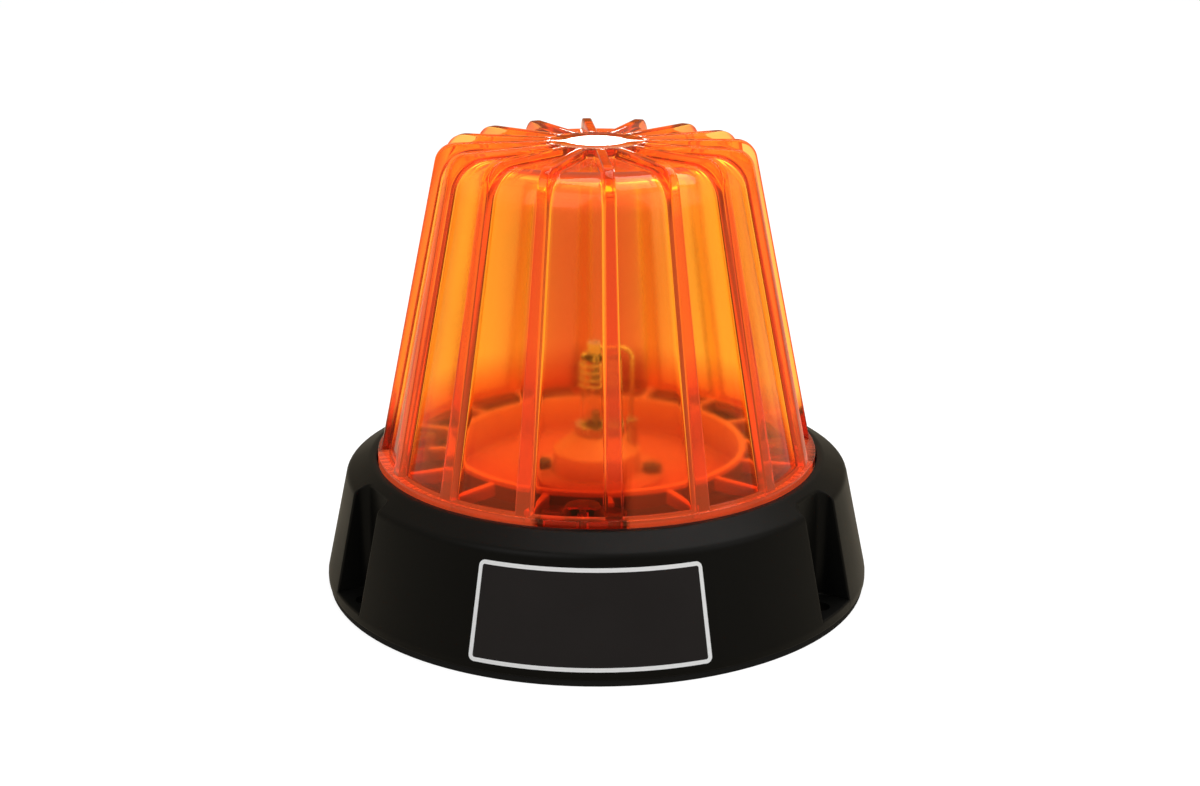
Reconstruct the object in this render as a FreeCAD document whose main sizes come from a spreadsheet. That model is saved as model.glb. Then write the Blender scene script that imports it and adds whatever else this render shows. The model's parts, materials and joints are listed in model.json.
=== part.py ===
"""Amber strobe beacon: a ribbed lens over a spoked tray and a plug-in flash tube, on a black base.

Millimetres and degrees. The origin is the middle of the gasket's underside, +Z is up and the label
faces -Y.
"""
import FreeCAD, Part
import os
import re

import Sketcher

SIZES = {
    # mounting gasket
    "gasket_thick": 2.0,
    "gasket_inset": 0.5,
    "gasket_width": 17.5,
    # lens
    "lens_foot_dia": 128.4,
    "lens_foot_thick": 3.0,
    "lens_foot_lip": 0.3,
    "lens_height": 92.8,
    "lens_taper": 18.9,
    "lens_wall": 2.6,
    "lens_top_thick": 2.8,
    "lens_shoulder": 10.0,
    "lens_turn": -4.75,
    "rib_count": 16,
    "rib_rise": 2.6,
    "rib_foot_width": 4.6,
    "rib_top_width": 3.0,
    "rib_shoulder": 6.0,
    "disc_dia": 28.0,
    "boss_count": 4,
    "boss_dia": 9.6,
    "boss_height": 5.0,
    "boss_turn": 3.2,
    "boss_pad_length": 23.0,
    "boss_pad_height": 3.0,
    "boss_pad_corner": 3.0,
    "boss_bite": 0.4,
    "boss_gap": 0.3,
    "seal_thick": 1.2,
    "seal_gap": 0.4,
    # base housing, worked outwards from the recess that takes the lens
    "lens_clearance": 0.4,
    "crest_width": 1.8,
    "shoulder_width": 7.0,
    "shoulder_drop": 4.1,
    "base_taper": 6.6,
    "base_wall": 3.0,
    "foot_band": 2.0,
    "recess_depth": 2.4,
    "bay_height": 17.4,
    "deck_thick": 3.0,
    # mounting channels
    "mount_count": 3,
    "mount_edge": 6.0,
    "mount_hole_dia": 5.8,
    "channel_width": 17.0,
    "channel_setback": 5.0,
    "channel_floor": 3.0,
    "channel_corner": 4.0,
    # label
    "label_angle": 47.5,
    "label_foot_margin": 1.7,
    "label_top_margin": 2.4,
    "label_thick": 0.2,
    "label_gap": 0.15,
    # bottom cover and cable entry
    "cover_thick": 3.0,
    "cover_clearance": 0.3,
    "cover_boss_inset": 8.5,
    "cover_boss_dia": 8.0,
    "cover_screw_dia": 2.9,
    "cover_screw_grip": 10.0,
    "cable_back": 30.0,
    "cable_bore_dia": 6.0,
    "grommet_waist_dia": 10.0,
    "grommet_flange_dia": 14.0,
    "grommet_flange_thick": 1.7,
    # screws in general
    "screw_dia": 3.0,
    "screw_head_dia": 5.6,
    "screw_head_thick": 2.0,
    "screw_clearance": 0.1,
    "lens_screw_grip": 4.0,
    # spoked tray
    "spoke_length": 12.5,
    "tray_wall": 2.0,
    "tray_depth": 8.0,
    "tray_floor_thick": 2.0,
    "tray_rise": 5.0,
    "tray_clearance": 0.5,
    "tray_ring_width": 2.2,
    "tray_ring_bearing": 1.5,
    "spoke_width": 2.0,
    "spoke_height": 4.0,
    # tube socket
    "socket_dia": 26.0,
    "socket_rise": 8.7,
    "socket_cone_rise": 4.7,
    "socket_neck_dia": 13.6,
    "socket_bore_depth": 10.4,
    "socket_flange_dia": 40.0,
    "socket_flange_thick": 2.0,
    "contact_side": 2.6,
    "contact_wall": 0.7,
    "contact_drop": 4.0,
    "lead_dia": 2.6,
    # return lead and its terminal
    "terminal_inset": 2.7,
    "return_lead_dia": 1.2,
    "terminal_wall": 1.0,
    "terminal_length": 12.0,
    "terminal_seat": 6.0,
    "terminal_floor": 2.0,
    "lead_bend": 3.0,
    "lead_tip_gap": 1.0,
    # flash tube
    "glue_gap": 0.05,
    "glass_dia": 9.4,
    "glass_wall": 1.0,
    "glass_length": 27.0,
    "glass_dome": 3.0,
    "glass_seat": 5.2,
    "plug_wall": 0.7,
    "cap_collar_dia": 12.8,
    "cap_collar_thick": 2.5,
    "plug_clearance": 0.1,
    "plug_gap": 0.3,
    "pin_dia": 1.6,
    "pin_length": 6.0,
    "electrode_dia": 1.6,
    "electrode_tip_dia": 3.2,
    "electrode_tip_length": 3.0,
    "electrode_reach": 9.0,
    "top_cap_dia": 5.4,
    "top_cap_rise": 3.0,
    "wire_dia": 0.6,
    "wire_pitch": 2.1,
    "wire_turns": 4,
    "wire_drop": 2.5,
    # circuit board
    "board_gap": 3.0,
    "board_thick": 1.6,
    "board_screw_inset": 5.0,
    "standoff_height": 4.0,
    "standoff_dia": 6.0,
    "board_screw_grip": 2.5,
    "cable_hole_dia": 16.0,
    # parts on the board
    "capacitor_dia": 13.0,
    "capacitor_length": 32.0,
    "capacitor_side": 28.0,
    "core_length": 22.0,
    "core_depth": 9.0,
    "core_height": 12.0,
    "core_leg": 4.0,
    "core_side": 27.0,
    "core_back": 6.0,
    "winding_depth": 16.0,
    "winding_gap": 0.3,
    "trigger_dia": 10.0,
    "trigger_height": 11.0,
    "trigger_core_dia": 4.0,
    "trigger_core_rise": 1.5,
    "trigger_side": 24.0,
    "trigger_front": 20.0,
    "sink_length": 26.0,
    "sink_thick": 2.0,
    "sink_height": 12.0,
    "sink_foot": 8.0,
    "sink_front": 30.0,
    "transistor_length": 10.0,
    "transistor_thick": 4.5,
    "transistor_height": 9.0,
    "block_length": 11.0,
    "block_depth": 9.0,
    "block_height": 10.0,
    "block_back": 15.5,
    "block_wire_dia": 3.0,
    "block_pitch": 5.0,
    "chip_length": 9.8,
    "chip_depth": 6.4,
    "chip_height": 3.4,
    "chip_side": 8.0,
    "chip_front": 15.0,
    "resistor_dia": 2.5,
    "resistor_length": 7.0,
    "resistor_pitch": 4.5,
    "resistor_count": 3,
    "resistor_side": 8.0,
    "resistor_front": 20.0,
    "diode_dia": 2.8,
    "diode_length": 5.2,
    "diode_pitch": 5.5,
    "diode_count": 2,
    "diode_side": 13.0,
    "diode_back": 27.0,
}

doc = FreeCAD.newDocument("strobe_beacon")
sheet = doc.addObject("Spreadsheet::Sheet", "sizes")
for row, (size_name, size) in enumerate(SIZES.items(), start=1):
    sheet.set(f"A{row}", size_name.replace("_", " "))
    sheet.set(f"B{row}", str(size))
    sheet.setAlias(f"B{row}", size_name)
doc.recompute()

nodes = []


def linked(text):
    """An expression whose named sizes point at their cells."""
    def cell(word):
        return f"sizes.{word[0]}" if word[0] in SIZES else word[0]
    return re.sub(r"[a-z]+(?:_[a-z]+)*", cell, text)


def number(text):
    """What an expression of named sizes comes to."""
    found = sheet.evalExpression(linked(text))
    return float(getattr(found, "Value", found))


def bind(item, field, text):
    """Ties one field of an object to an expression of named sizes."""
    item.setExpression(field, linked(text))


def keep(item, turn=None):
    """Lists an object as a finished sub-part, turned about the upright axis where an angle is given."""
    item.Label = item.Name
    if turn:
        bind(item, "Placement.Rotation.Angle", turn)
    nodes.append(item)
    return item


def origin_part(body, role):
    """A body's own origin plane or axis."""
    return next(part for part in body.Origin.OriginFeatures if part.Role == role)


def new_body(name):
    return doc.addObject("PartDesign::Body", name)


def new_sketch(body, name, role="XY_Plane", lift="0", turn=None):
    """A sketch on one of the body's origin planes, lifted along the plane's normal and turned in it."""
    drawing = body.newObject("Sketcher::SketchObject", f"{body.Name}_{name}")
    drawing.AttachmentSupport = [(origin_part(body, role), "")]
    drawing.MapMode = "FlatFace"
    bind(drawing, "AttachmentOffset.Base.z", lift)
    if turn:
        bind(drawing, "AttachmentOffset.Rotation.Angle", turn)
    return drawing


def pin_point(drawing, geometry, place, x, y):
    """Ties one point of a sketch to a pair of expressions, measured from the sketch's origin."""
    for kind, axis, text in (("DistanceX", -2, x), ("DistanceY", -1, y)):
        distance = number(text)
        if abs(distance) < 1e-9:
            drawing.addConstraint(Sketcher.Constraint("PointOnObject", geometry, place, axis))
            continue
        ends = (-1, 1, geometry, place) if distance > 0 else (geometry, place, -1, 1)
        rule = drawing.addConstraint(Sketcher.Constraint(kind, *ends, abs(distance)))
        bind(drawing, f"Constraints[{rule}]", text if distance > 0 else f"-({text})")


def draw_polygon(drawing, corners):
    """A closed outline of straight lines through corners given as pairs of expressions."""
    points = [FreeCAD.Vector(number(x), number(y), 0) for x, y in corners]
    first = drawing.GeometryCount
    count = len(points)
    for index in range(count):
        drawing.addGeometry(Part.LineSegment(points[index], points[(index + 1) % count]), False)
    for index in range(count):
        after = first + (index + 1) % count
        drawing.addConstraint(Sketcher.Constraint("Coincident", first + index, 2, after, 1))
    for index, (x, y) in enumerate(corners):
        pin_point(drawing, first + index, 1, x, y)
    return drawing


def draw_circle(drawing, x, y, diameter):
    """A circle whose middle and diameter are expressions."""
    middle = FreeCAD.Vector(number(x), number(y), 0)
    ring = drawing.addGeometry(Part.Circle(middle, FreeCAD.Vector(0, 0, 1), number(diameter) / 2), False)
    pin_point(drawing, ring, 3, x, y)
    rule = drawing.addConstraint(Sketcher.Constraint("Diameter", ring, number(diameter)))
    bind(drawing, f"Constraints[{rule}]", diameter)
    return drawing


def rectangle(x_low, x_high, y_low, y_high):
    return [(x_low, y_low), (x_high, y_low), (x_high, y_high), (x_low, y_high)]


def revolve(body, name, corners, role="XZ_Plane", angle=None, cut=False):
    """A section turned about the upright axis, all round or by an angle that straddles its plane."""
    drawing = draw_polygon(new_sketch(body, f"{name}_section", role), corners)
    kind = "PartDesign::Groove" if cut else "PartDesign::Revolution"
    feature = body.newObject(kind, f"{body.Name}_{name}")
    feature.Profile = drawing
    feature.ReferenceAxis = (drawing, ["V_Axis"])
    feature.Angle = 360
    if angle:
        feature.Midplane = True
        bind(feature, "Angle", angle)
    body.Tip = feature
    return feature


def pad(body, name, drawing, length):
    """A sketch raised along its normal."""
    feature = body.newObject("PartDesign::Pad", f"{body.Name}_{name}")
    feature.Profile = drawing
    bind(feature, "Length", length)
    body.Tip = feature
    return feature


def pocket(body, name, drawing, length):
    """A sketch cut upwards from its plane."""
    feature = body.newObject("PartDesign::Pocket", f"{body.Name}_{name}")
    feature.Profile = drawing
    feature.Reversed = True
    bind(feature, "Length", length)
    body.Tip = feature
    return feature


def around(body, features, count):
    """Copies of features spaced evenly about the upright axis."""
    pattern = body.newObject("PartDesign::PolarPattern", f"{features[-1].Name}_round")
    pattern.Originals = features
    pattern.Axis = (origin_part(body, "Z_Axis"), [""])
    pattern.Angle = 360
    bind(pattern, "Occurrences", count)
    body.Tip = pattern
    return pattern


def round_rim(body, name, base, radius, height, fillet):
    """Rounds the circular edge of a feature that has a given radius and height."""
    doc.recompute()
    wanted = (number(radius), number(height))
    edges = []
    for index, edge in enumerate(base.Shape.Edges, start=1):
        if isinstance(edge.Curve, Part.Circle):
            found = (edge.Curve.Radius, edge.Curve.Center.z)
            if max(abs(a - b) for a, b in zip(found, wanted)) < 1e-4:
                edges.append(f"Edge{index}")
    feature = body.newObject("PartDesign::Fillet", f"{body.Name}_{name}")
    feature.Base = (base, edges)
    bind(feature, "Radius", fillet)
    body.Tip = feature
    return feature


def place(item, x, y, z):
    for axis, text in (("x", x), ("y", y), ("z", z)):
        bind(item, f"Placement.Base.{axis}", text)
    return item


def block(name, length, depth, height, x, y, z):
    """A box that stands on z with its middle at x, y."""
    item = doc.addObject("Part::Box", name)
    for field, text in (("Length", length), ("Width", depth), ("Height", height)):
        bind(item, field, text)
    return place(item, f"{x} - ({length}) / 2", f"{y} - ({depth}) / 2", z)


def upright(name, diameter, height, x, y, z):
    """A cylinder that stands on z."""
    item = doc.addObject("Part::Cylinder", name)
    bind(item, "Radius", f"({diameter}) / 2")
    bind(item, "Height", height)
    return place(item, x, y, z)


def lying(name, diameter, length, x, y, z):
    """A cylinder that lies along Y with its middle at x, y, z."""
    item = doc.addObject("Part::Cylinder", name)
    bind(item, "Radius", f"({diameter}) / 2")
    bind(item, "Height", length)
    item.Placement.Rotation = FreeCAD.Rotation(FreeCAD.Vector(1, 0, 0), -90)
    return place(item, x, f"{y} - ({length}) / 2", z)


def cut(name, base, tool):
    item = doc.addObject("Part::Cut", name)
    item.Base = base
    item.Tool = tool
    return item


def fuse(name, items):
    item = doc.addObject("Part::MultiFuse", name)
    item.Shapes = items
    return item


def group(name, items):
    """Separate like solids that share one node."""
    item = doc.addObject("Part::Compound", name)
    item.Links = items
    return item


# Levels, from the mounting surface up
foot_z = "gasket_thick"
band_z = f"({foot_z} + foot_band)"
cover_z = f"({foot_z} + cover_thick)"
floor_z = f"({foot_z} + channel_floor)"
board_z = f"({cover_z} + standoff_height)"
board_top_z = f"({board_z} + board_thick)"
tray_under_z = f"({board_top_z} + bay_height)"
tray_floor_z = f"({tray_under_z} + tray_floor_thick)"
deck_z = f"({tray_under_z} + tray_depth)"
deck_under_z = f"({deck_z} - deck_thick)"
crest_z = f"({deck_z} + recess_depth)"
shoulder_z = f"({crest_z} - shoulder_drop)"
lens_foot_z = f"({deck_z} + seal_thick)"
lens_top_z = f"({lens_foot_z} + lens_height)"
lens_roof_z = f"({lens_top_z} - rib_rise)"

# Radii of the lens and, from its recess outwards, of the base
lens_foot_r = "(lens_foot_dia / 2)"
lens_wall_r = f"({lens_foot_r} - lens_foot_lip - rib_rise)"
lens_inner_r = f"({lens_wall_r} - lens_wall)"
lens_lean = "(lens_taper / (lens_height - rib_rise))"
recess_r = f"({lens_foot_r} + lens_clearance)"
crest_r = f"({recess_r} + crest_width)"
shoulder_r = f"({crest_r} + shoulder_width)"
base_r = f"({shoulder_r} + base_taper)"
mount_r = f"({base_r} - mount_edge)"
channel_back_r = f"({mount_r} - channel_setback)"
bay_r = f"({channel_back_r} - base_wall)"
boss_r = f"({lens_inner_r} + boss_bite - boss_dia / 2)"
cover_screw_r = f"({bay_r} - cover_boss_inset)"
board_r = f"({cover_screw_r} - cover_boss_dia / 2 - board_gap)"
board_screw_r = f"({board_r} - board_screw_inset)"
ring_inner_r = f"({lens_inner_r} - tray_ring_width)"
tray_cup_r = f"({ring_inner_r} - spoke_length)"

lens_angle = "lens_turn"
lens_screw_angle = "lens_turn + boss_turn"
cover_screw_angle = "lens_turn + 180 / boss_count"
rib_angle = "180 / rib_count"
screw_hole_dia = "(screw_dia + 2 * screw_clearance)"


def wall_r(z):
    """Radius of the base's outer wall at a height above its foot band."""
    return f"({shoulder_r} + base_taper * ({shoulder_z} - {z}) / ({shoulder_z} - {band_z}))"


def mount_holes(body, bottom, height):
    """The ring of mounting holes, cut up through one piece."""
    drawing = new_sketch(body, "mount_hole_plan", lift=bottom)
    draw_circle(drawing, "0", mount_r, "mount_hole_dia")
    return around(body, [pocket(body, "mount_hole", drawing, height)], "mount_count")


# Mounting gasket: a flat rubber ring between the base and the surface that carries it
gasket = new_body("mounting_gasket")
gasket_outer_r = f"({base_r} - gasket_inset)"
revolve(gasket, "ring", rectangle(f"{gasket_outer_r} - gasket_width", gasket_outer_r, "0", "gasket_thick"))
mount_holes(gasket, "0", "gasket_thick")
keep(gasket)

# Base housing: wall, shoulder, recess for the lens foot and the deck under it, in one moulding
housing = new_body("base_housing")
deck_opening_r = f"{tray_cup_r} + tray_clearance"
revolve(housing, "shell", [
    (bay_r, foot_z), (base_r, foot_z), (base_r, band_z), (shoulder_r, shoulder_z), (crest_r, crest_z),
    (recess_r, crest_z), (recess_r, deck_z), (deck_opening_r, deck_z), (deck_opening_r, deck_under_z),
    (bay_r, deck_under_z)])

# The wall is hollowed between the solid stretches that carry the mounting channels
solid_half_angle = f"atan((channel_width / 2 + base_wall) / {channel_back_r})"
hollow_angle = f"360 deg / mount_count - 2 * {solid_half_angle}"
hollow_inside = f"-({bay_r} - base_wall)"
hollow = revolve(housing, "hollow", [
    (hollow_inside, "0"), (f"-({base_r} - base_wall)", "0"), (f"-({base_r} - base_wall)", band_z),
    (f"-({wall_r(deck_under_z)} - base_wall)", deck_under_z), (hollow_inside, deck_under_z)],
    role="YZ_Plane", angle=hollow_angle, cut=True)
around(housing, [hollow], "mount_count")

# Mounting channels: slots down the wall to a floor that the mounting screw clamps
channel_plan = new_sketch(housing, "channel_plan", lift=floor_z)
draw_polygon(channel_plan, [
    ("-channel_width / 2", f"{channel_back_r} + channel_corner"),
    ("-channel_width / 2 + channel_corner", channel_back_r),
    ("channel_width / 2 - channel_corner", channel_back_r),
    ("channel_width / 2", f"{channel_back_r} + channel_corner"),
    ("channel_width / 2", f"{base_r} + base_wall"),
    ("-channel_width / 2", f"{base_r} + base_wall")])
channel = pocket(housing, "channel", channel_plan, crest_z)
around(housing, [channel], "mount_count")
mount_holes(housing, foot_z, "channel_floor")

# Bosses under the deck take the cover screws
cover_boss_plan = new_sketch(housing, "cover_boss_plan", lift=cover_z, turn=cover_screw_angle)
draw_circle(cover_boss_plan, "0", f"-{cover_screw_r}", "cover_boss_dia")
cover_boss = pad(housing, "cover_boss", cover_boss_plan, f"{deck_under_z} - {cover_z}")
around(housing, [cover_boss], "boss_count")
cover_pilot_plan = new_sketch(housing, "cover_pilot_plan", lift=cover_z, turn=cover_screw_angle)
draw_circle(cover_pilot_plan, "0", f"-{cover_screw_r}", "cover_screw_dia + 2 * screw_clearance")
cover_pilot = pocket(housing, "cover_pilot", cover_pilot_plan, "cover_screw_grip + cover_thick")
around(housing, [cover_pilot], "boss_count")

# The lens screws come up through the deck
lens_hole_plan = new_sketch(housing, "lens_hole_plan", lift=deck_under_z, turn=lens_screw_angle)
draw_circle(lens_hole_plan, "0", f"-{boss_r}", screw_hole_dia)
lens_hole = pocket(housing, "lens_hole", lens_hole_plan, "deck_thick")
around(housing, [lens_hole], "boss_count")
keep(housing)

# Label: a bare printed plate on the front of the wall
label = new_body("rating_label")
label_foot_z = f"({band_z} + label_foot_margin)"
label_top_z = f"({shoulder_z} - label_top_margin)"
label_back = [(f"-({wall_r(z)} + label_gap)", z) for z in (label_foot_z, label_top_z)]
label_face = [(f"-({wall_r(z)} + label_gap + label_thick)", z) for z in (label_top_z, label_foot_z)]
revolve(label, "plate", label_back + label_face, role="YZ_Plane", angle="label_angle")
keep(label)

# Bottom cover: closes the bay and reaches out between the mounting channels
cover = new_body("bottom_cover")
revolve(cover, "disc", rectangle("0", f"{bay_r} - cover_clearance", foot_z, cover_z))
cover_wing_r = f"{wall_r(cover_z)} - base_wall - cover_clearance"
wing = revolve(cover, "wing", rectangle(f"-({cover_wing_r})", f"-({bay_r} - base_wall)", foot_z, cover_z),
               role="YZ_Plane", angle=f"{hollow_angle} - 2 * asin(cover_clearance / {bay_r})")
around(cover, [wing], "mount_count")
cable_hole = new_sketch(cover, "cable_hole", lift=foot_z)
draw_circle(cable_hole, "0", "cable_back", "grommet_waist_dia")
pocket(cover, "cable_entry", cable_hole, "cover_thick")
cover_head_seat = f"({foot_z} + screw_head_thick)"
for hole_name, hole_dia, hole_height in (
        ("screw_hole", "cover_screw_dia + 2 * screw_clearance", "cover_thick"),
        ("screw_sink", "screw_head_dia + 4 * screw_clearance", "screw_head_thick")):
    plan = new_sketch(cover, f"{hole_name}_plan", lift=foot_z, turn=cover_screw_angle)
    draw_circle(plan, "0", f"-{cover_screw_r}", hole_dia)
    around(cover, [pocket(cover, hole_name, plan, hole_height)], "boss_count")
keep(cover)


def screw_ring(name, circle_r, angle, head_z, head_dia, shank_z, shank_dia, shank_length):
    """A ring of like screws: a head that starts at one level and a shank that starts at another."""
    body = new_body(name)
    solids = []
    for part_name, bottom, diameter, length in (("head", head_z, head_dia, "screw_head_thick"),
                                                ("shank", shank_z, shank_dia, shank_length)):
        plan = new_sketch(body, f"{part_name}_plan", lift=bottom, turn=angle)
        draw_circle(plan, "0", f"-{circle_r}", diameter)
        solids.append(pad(body, part_name, plan, length))
    around(body, solids, "boss_count")
    return keep(body)


screw_ring("cover_screws", cover_screw_r, cover_screw_angle, foot_z, "screw_head_dia",
           cover_head_seat, "cover_screw_dia", "cover_screw_grip")
screw_ring("lens_screws", boss_r, lens_screw_angle, f"{deck_under_z} - screw_head_thick", "screw_head_dia",
           deck_under_z, "screw_dia", "deck_thick + lens_screw_grip")

# Cable grommet: rubber, snapped into the cover
grommet = new_body("cable_grommet")
grommet_waist_r = "grommet_waist_dia / 2"
grommet_flange_r = "grommet_flange_dia / 2"
cable_bore_r = "cable_bore_dia / 2"
grommet_foot_z = f"{foot_z} - grommet_flange_thick"
grommet_top_z = f"{cover_z} + grommet_flange_thick"
revolve(grommet, "ring", [
    (cable_bore_r, grommet_foot_z), (grommet_flange_r, grommet_foot_z), (grommet_flange_r, foot_z),
    (grommet_waist_r, foot_z), (grommet_waist_r, cover_z), (grommet_flange_r, cover_z),
    (grommet_flange_r, grommet_top_z), (cable_bore_r, grommet_top_z)])
keep(place(grommet, "0", "cable_back", "0"))

# Lens: an outer form and a ribbed one are joined, hollowed, and given screw bosses inside the foot
lens_form = new_body("lens_form")
roof_r = f"({lens_wall_r} - lens_taper)"
ledge_z = f"({lens_foot_z} + lens_foot_thick)"
form = revolve(lens_form, "outside", [
    ("0", lens_foot_z), (lens_foot_r, lens_foot_z), (lens_foot_r, ledge_z),
    (f"{lens_wall_r} - {lens_lean} * lens_foot_thick", ledge_z), (roof_r, lens_roof_z), ("0", lens_roof_z)])
round_rim(lens_form, "shoulder", form, roof_r, lens_roof_z, "lens_shoulder")

rib_form = new_body("rib_form")
rib_crest_r = f"({lens_wall_r} + rib_rise)"
rib_top_r = f"({rib_crest_r} - {lens_lean} * lens_height)"
crest = revolve(rib_form, "crest", [
    ("0", lens_foot_z), (rib_crest_r, lens_foot_z), (rib_top_r, lens_top_z), ("0", lens_top_z)])
round_rim(rib_form, "crest_shoulder", crest, rib_top_r, lens_top_z, "rib_shoulder")

rib_plates = new_body("rib_plates")
plate_section = new_sketch(rib_plates, "section", "XZ_Plane")
draw_polygon(plate_section, [
    ("-rib_foot_width / 2", lens_foot_z), ("rib_foot_width / 2", lens_foot_z),
    ("rib_top_width / 2", lens_top_z), ("-rib_top_width / 2", lens_top_z)])
around(rib_plates, [pad(rib_plates, "plate", plate_section, lens_foot_r)], "rib_count")
bind(rib_plates, "Placement.Rotation.Angle", rib_angle)

ribs = doc.addObject("Part::Common", "ribs")
ribs.Base = rib_form
ribs.Tool = rib_plates
ceiling_z = f"({lens_roof_z} - lens_top_thick)"
disc = upright("top_disc", "disc_dia", "rib_rise + lens_top_thick", "0", "0", ceiling_z)

lens_cavity = new_body("lens_cavity")
ceiling_r = f"({lens_inner_r} - {lens_lean} * ({ceiling_z} - {lens_foot_z}))"
dimple_r = "(disc_dia / 2 - lens_wall)"
dimple_z = f"({lens_top_z} - lens_top_thick)"
below_foot_z = f"({lens_foot_z} - lens_foot_thick)"
hollow_form = revolve(lens_cavity, "inside", [
    ("0", below_foot_z), (f"{lens_inner_r} + {lens_lean} * lens_foot_thick", below_foot_z),
    (ceiling_r, ceiling_z), (dimple_r, ceiling_z), (dimple_r, dimple_z), ("0", dimple_z)])
round_rim(lens_cavity, "inner_shoulder", hollow_form, ceiling_r, ceiling_z, "lens_shoulder - lens_wall")


def draw_boss_pad(body, name, lift, outside_r, gap):
    """Plan of the pad round a boss, grown by a gap: square to the wall, with its inner corners cut off."""
    half = f"(boss_pad_length / 2 + {gap})"
    front = f"({boss_r} - boss_dia / 2 - {gap})"
    return draw_polygon(new_sketch(body, name, lift=lift, turn="boss_turn"), [
        (f"-{half}", f"-{outside_r}"), (half, f"-{outside_r}"),
        (half, f"-({front} + boss_pad_corner)"), (f"{half} - boss_pad_corner", f"-{front}"),
        (f"boss_pad_corner - {half}", f"-{front}"), (f"-{half}", f"-({front} + boss_pad_corner)")])


boss_foot_z = f"({deck_z} + boss_gap)"
lens_bosses = new_body("lens_bosses")
pad_plan = draw_boss_pad(lens_bosses, "pad_plan", boss_foot_z, f"({boss_r} + boss_dia / 2)", "0")
boss_plan = new_sketch(lens_bosses, "boss_plan", lift=boss_foot_z, turn="boss_turn")
draw_circle(boss_plan, "0", f"-{boss_r}", "boss_dia")
around(lens_bosses, [pad(lens_bosses, "pad", pad_plan, "boss_pad_height"),
                     pad(lens_bosses, "boss", boss_plan, "boss_height")], "boss_count")
boss_holes = new_body("boss_holes")
hole_plan = new_sketch(boss_holes, "plan", lift=boss_foot_z, turn="boss_turn")
draw_circle(hole_plan, "0", f"-{boss_r}", screw_hole_dia)
around(boss_holes, [pad(boss_holes, "hole", hole_plan, "lens_screw_grip + screw_clearance")], "boss_count")

lens_shell = cut("lens_shell", fuse("lens_outside", [lens_form, ribs, disc]), lens_cavity)
keep(cut("lens", fuse("lens_with_bosses", [lens_shell, lens_bosses]), boss_holes), lens_angle)

# Lens seal: a flat silicone ring on the deck, outside the tray's ring
ring_outer_r = f"({lens_inner_r} + tray_ring_bearing)"
seal = new_body("lens_seal")
revolve(seal, "ring", rectangle(f"{ring_outer_r} + seal_gap", lens_foot_r, deck_z, lens_foot_z))
keep(seal)

# Spoked tray: a cup sunk through the deck, with a spoke behind each rib and a ring under the lens foot
tray = new_body("reflector_tray")
tray_rim_z = f"({deck_z} + tray_rise)"
tray_inner_r = f"({tray_cup_r} - tray_wall)"
revolve(tray, "cup", [
    ("0", tray_under_z), (tray_cup_r, tray_under_z), (tray_cup_r, tray_rim_z), (tray_inner_r, tray_rim_z),
    (tray_inner_r, tray_floor_z), ("0", tray_floor_z)])
spoke_end_r = f"({lens_inner_r} - tray_ring_width / 2)"
spoke_plan = new_sketch(tray, "spoke_plan", lift=deck_z, turn=rib_angle)
draw_polygon(spoke_plan, rectangle("-spoke_width / 2", "spoke_width / 2",
                                   f"-{spoke_end_r}", f"-({tray_cup_r} - tray_wall / 2)"))
around(tray, [pad(tray, "spoke", spoke_plan, "spoke_height")], "rib_count")
revolve(tray, "ring", rectangle(ring_inner_r, ring_outer_r, deck_z, lens_foot_z))
notch_plan = draw_boss_pad(tray, "notch_plan", deck_z, f"({ring_outer_r} + tray_clearance)", "tray_clearance")
around(tray, [pocket(tray, "notch", notch_plan, "spoke_height")], "boss_count")
contact_dia = "(pin_dia + 2 * plug_clearance + 2 * contact_wall)"
opening_plan = new_sketch(tray, "opening_plan", lift=tray_under_z)
draw_circle(opening_plan, "0", "0", f"2 * contact_side + {contact_dia} + 2 * tray_clearance")
pocket(tray, "opening", opening_plan, "tray_floor_thick")
socket_screw_side = "(socket_dia + socket_flange_dia) / 4"
socket_sides = (f"-{socket_screw_side}", socket_screw_side)
tray_screw_plan = new_sketch(tray, "socket_screw_plan", lift=tray_under_z)
for side in socket_sides:
    draw_circle(tray_screw_plan, side, "0", screw_hole_dia)
pocket(tray, "socket_screw_hole", tray_screw_plan, "tray_floor_thick")
keep(tray, lens_angle)

# Tube socket: a ceramic collar screwed to the tray's floor
socket = new_body("tube_socket")
socket_r = "socket_dia / 2"
socket_neck_r = "socket_neck_dia / 2"
socket_flange_r = "socket_flange_dia / 2"
plug_r = "(glass_dia / 2 + plug_wall)"
socket_bore_r = f"({plug_r} + plug_clearance)"
socket_flange_z = f"({tray_floor_z} + socket_flange_thick)"
socket_shoulder_z = f"({tray_floor_z} + socket_rise)"
socket_top_z = f"({socket_shoulder_z} + socket_cone_rise)"
bore_floor_z = f"({socket_top_z} - socket_bore_depth)"
revolve(socket, "collar", [
    ("0", tray_floor_z), (socket_flange_r, tray_floor_z), (socket_flange_r, socket_flange_z),
    (socket_r, socket_flange_z), (socket_r, socket_shoulder_z), (socket_neck_r, socket_top_z),
    (socket_bore_r, socket_top_z), (socket_bore_r, bore_floor_z), ("0", bore_floor_z)])
contact_sides = ("-contact_side", "contact_side")
contact_plan = new_sketch(socket, "contact_plan", lift=tray_floor_z)
for side in contact_sides:
    draw_circle(contact_plan, side, "0", contact_dia)
pocket(socket, "contact_hole", contact_plan, f"{bore_floor_z} - {tray_floor_z}")
socket_screw_plan = new_sketch(socket, "screw_plan", lift=tray_floor_z)
for side in socket_sides:
    draw_circle(socket_screw_plan, side, "0", screw_hole_dia)
pocket(socket, "screw_hole", socket_screw_plan, "socket_flange_thick")
lead_side = "(socket_dia / 2 - terminal_inset)"
terminal_bore_dia = "(return_lead_dia + 4 * plug_clearance)"
terminal_dia = f"({terminal_bore_dia} + 2 * terminal_wall)"
terminal_foot_z = f"({tray_floor_z} + terminal_seat)"
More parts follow.
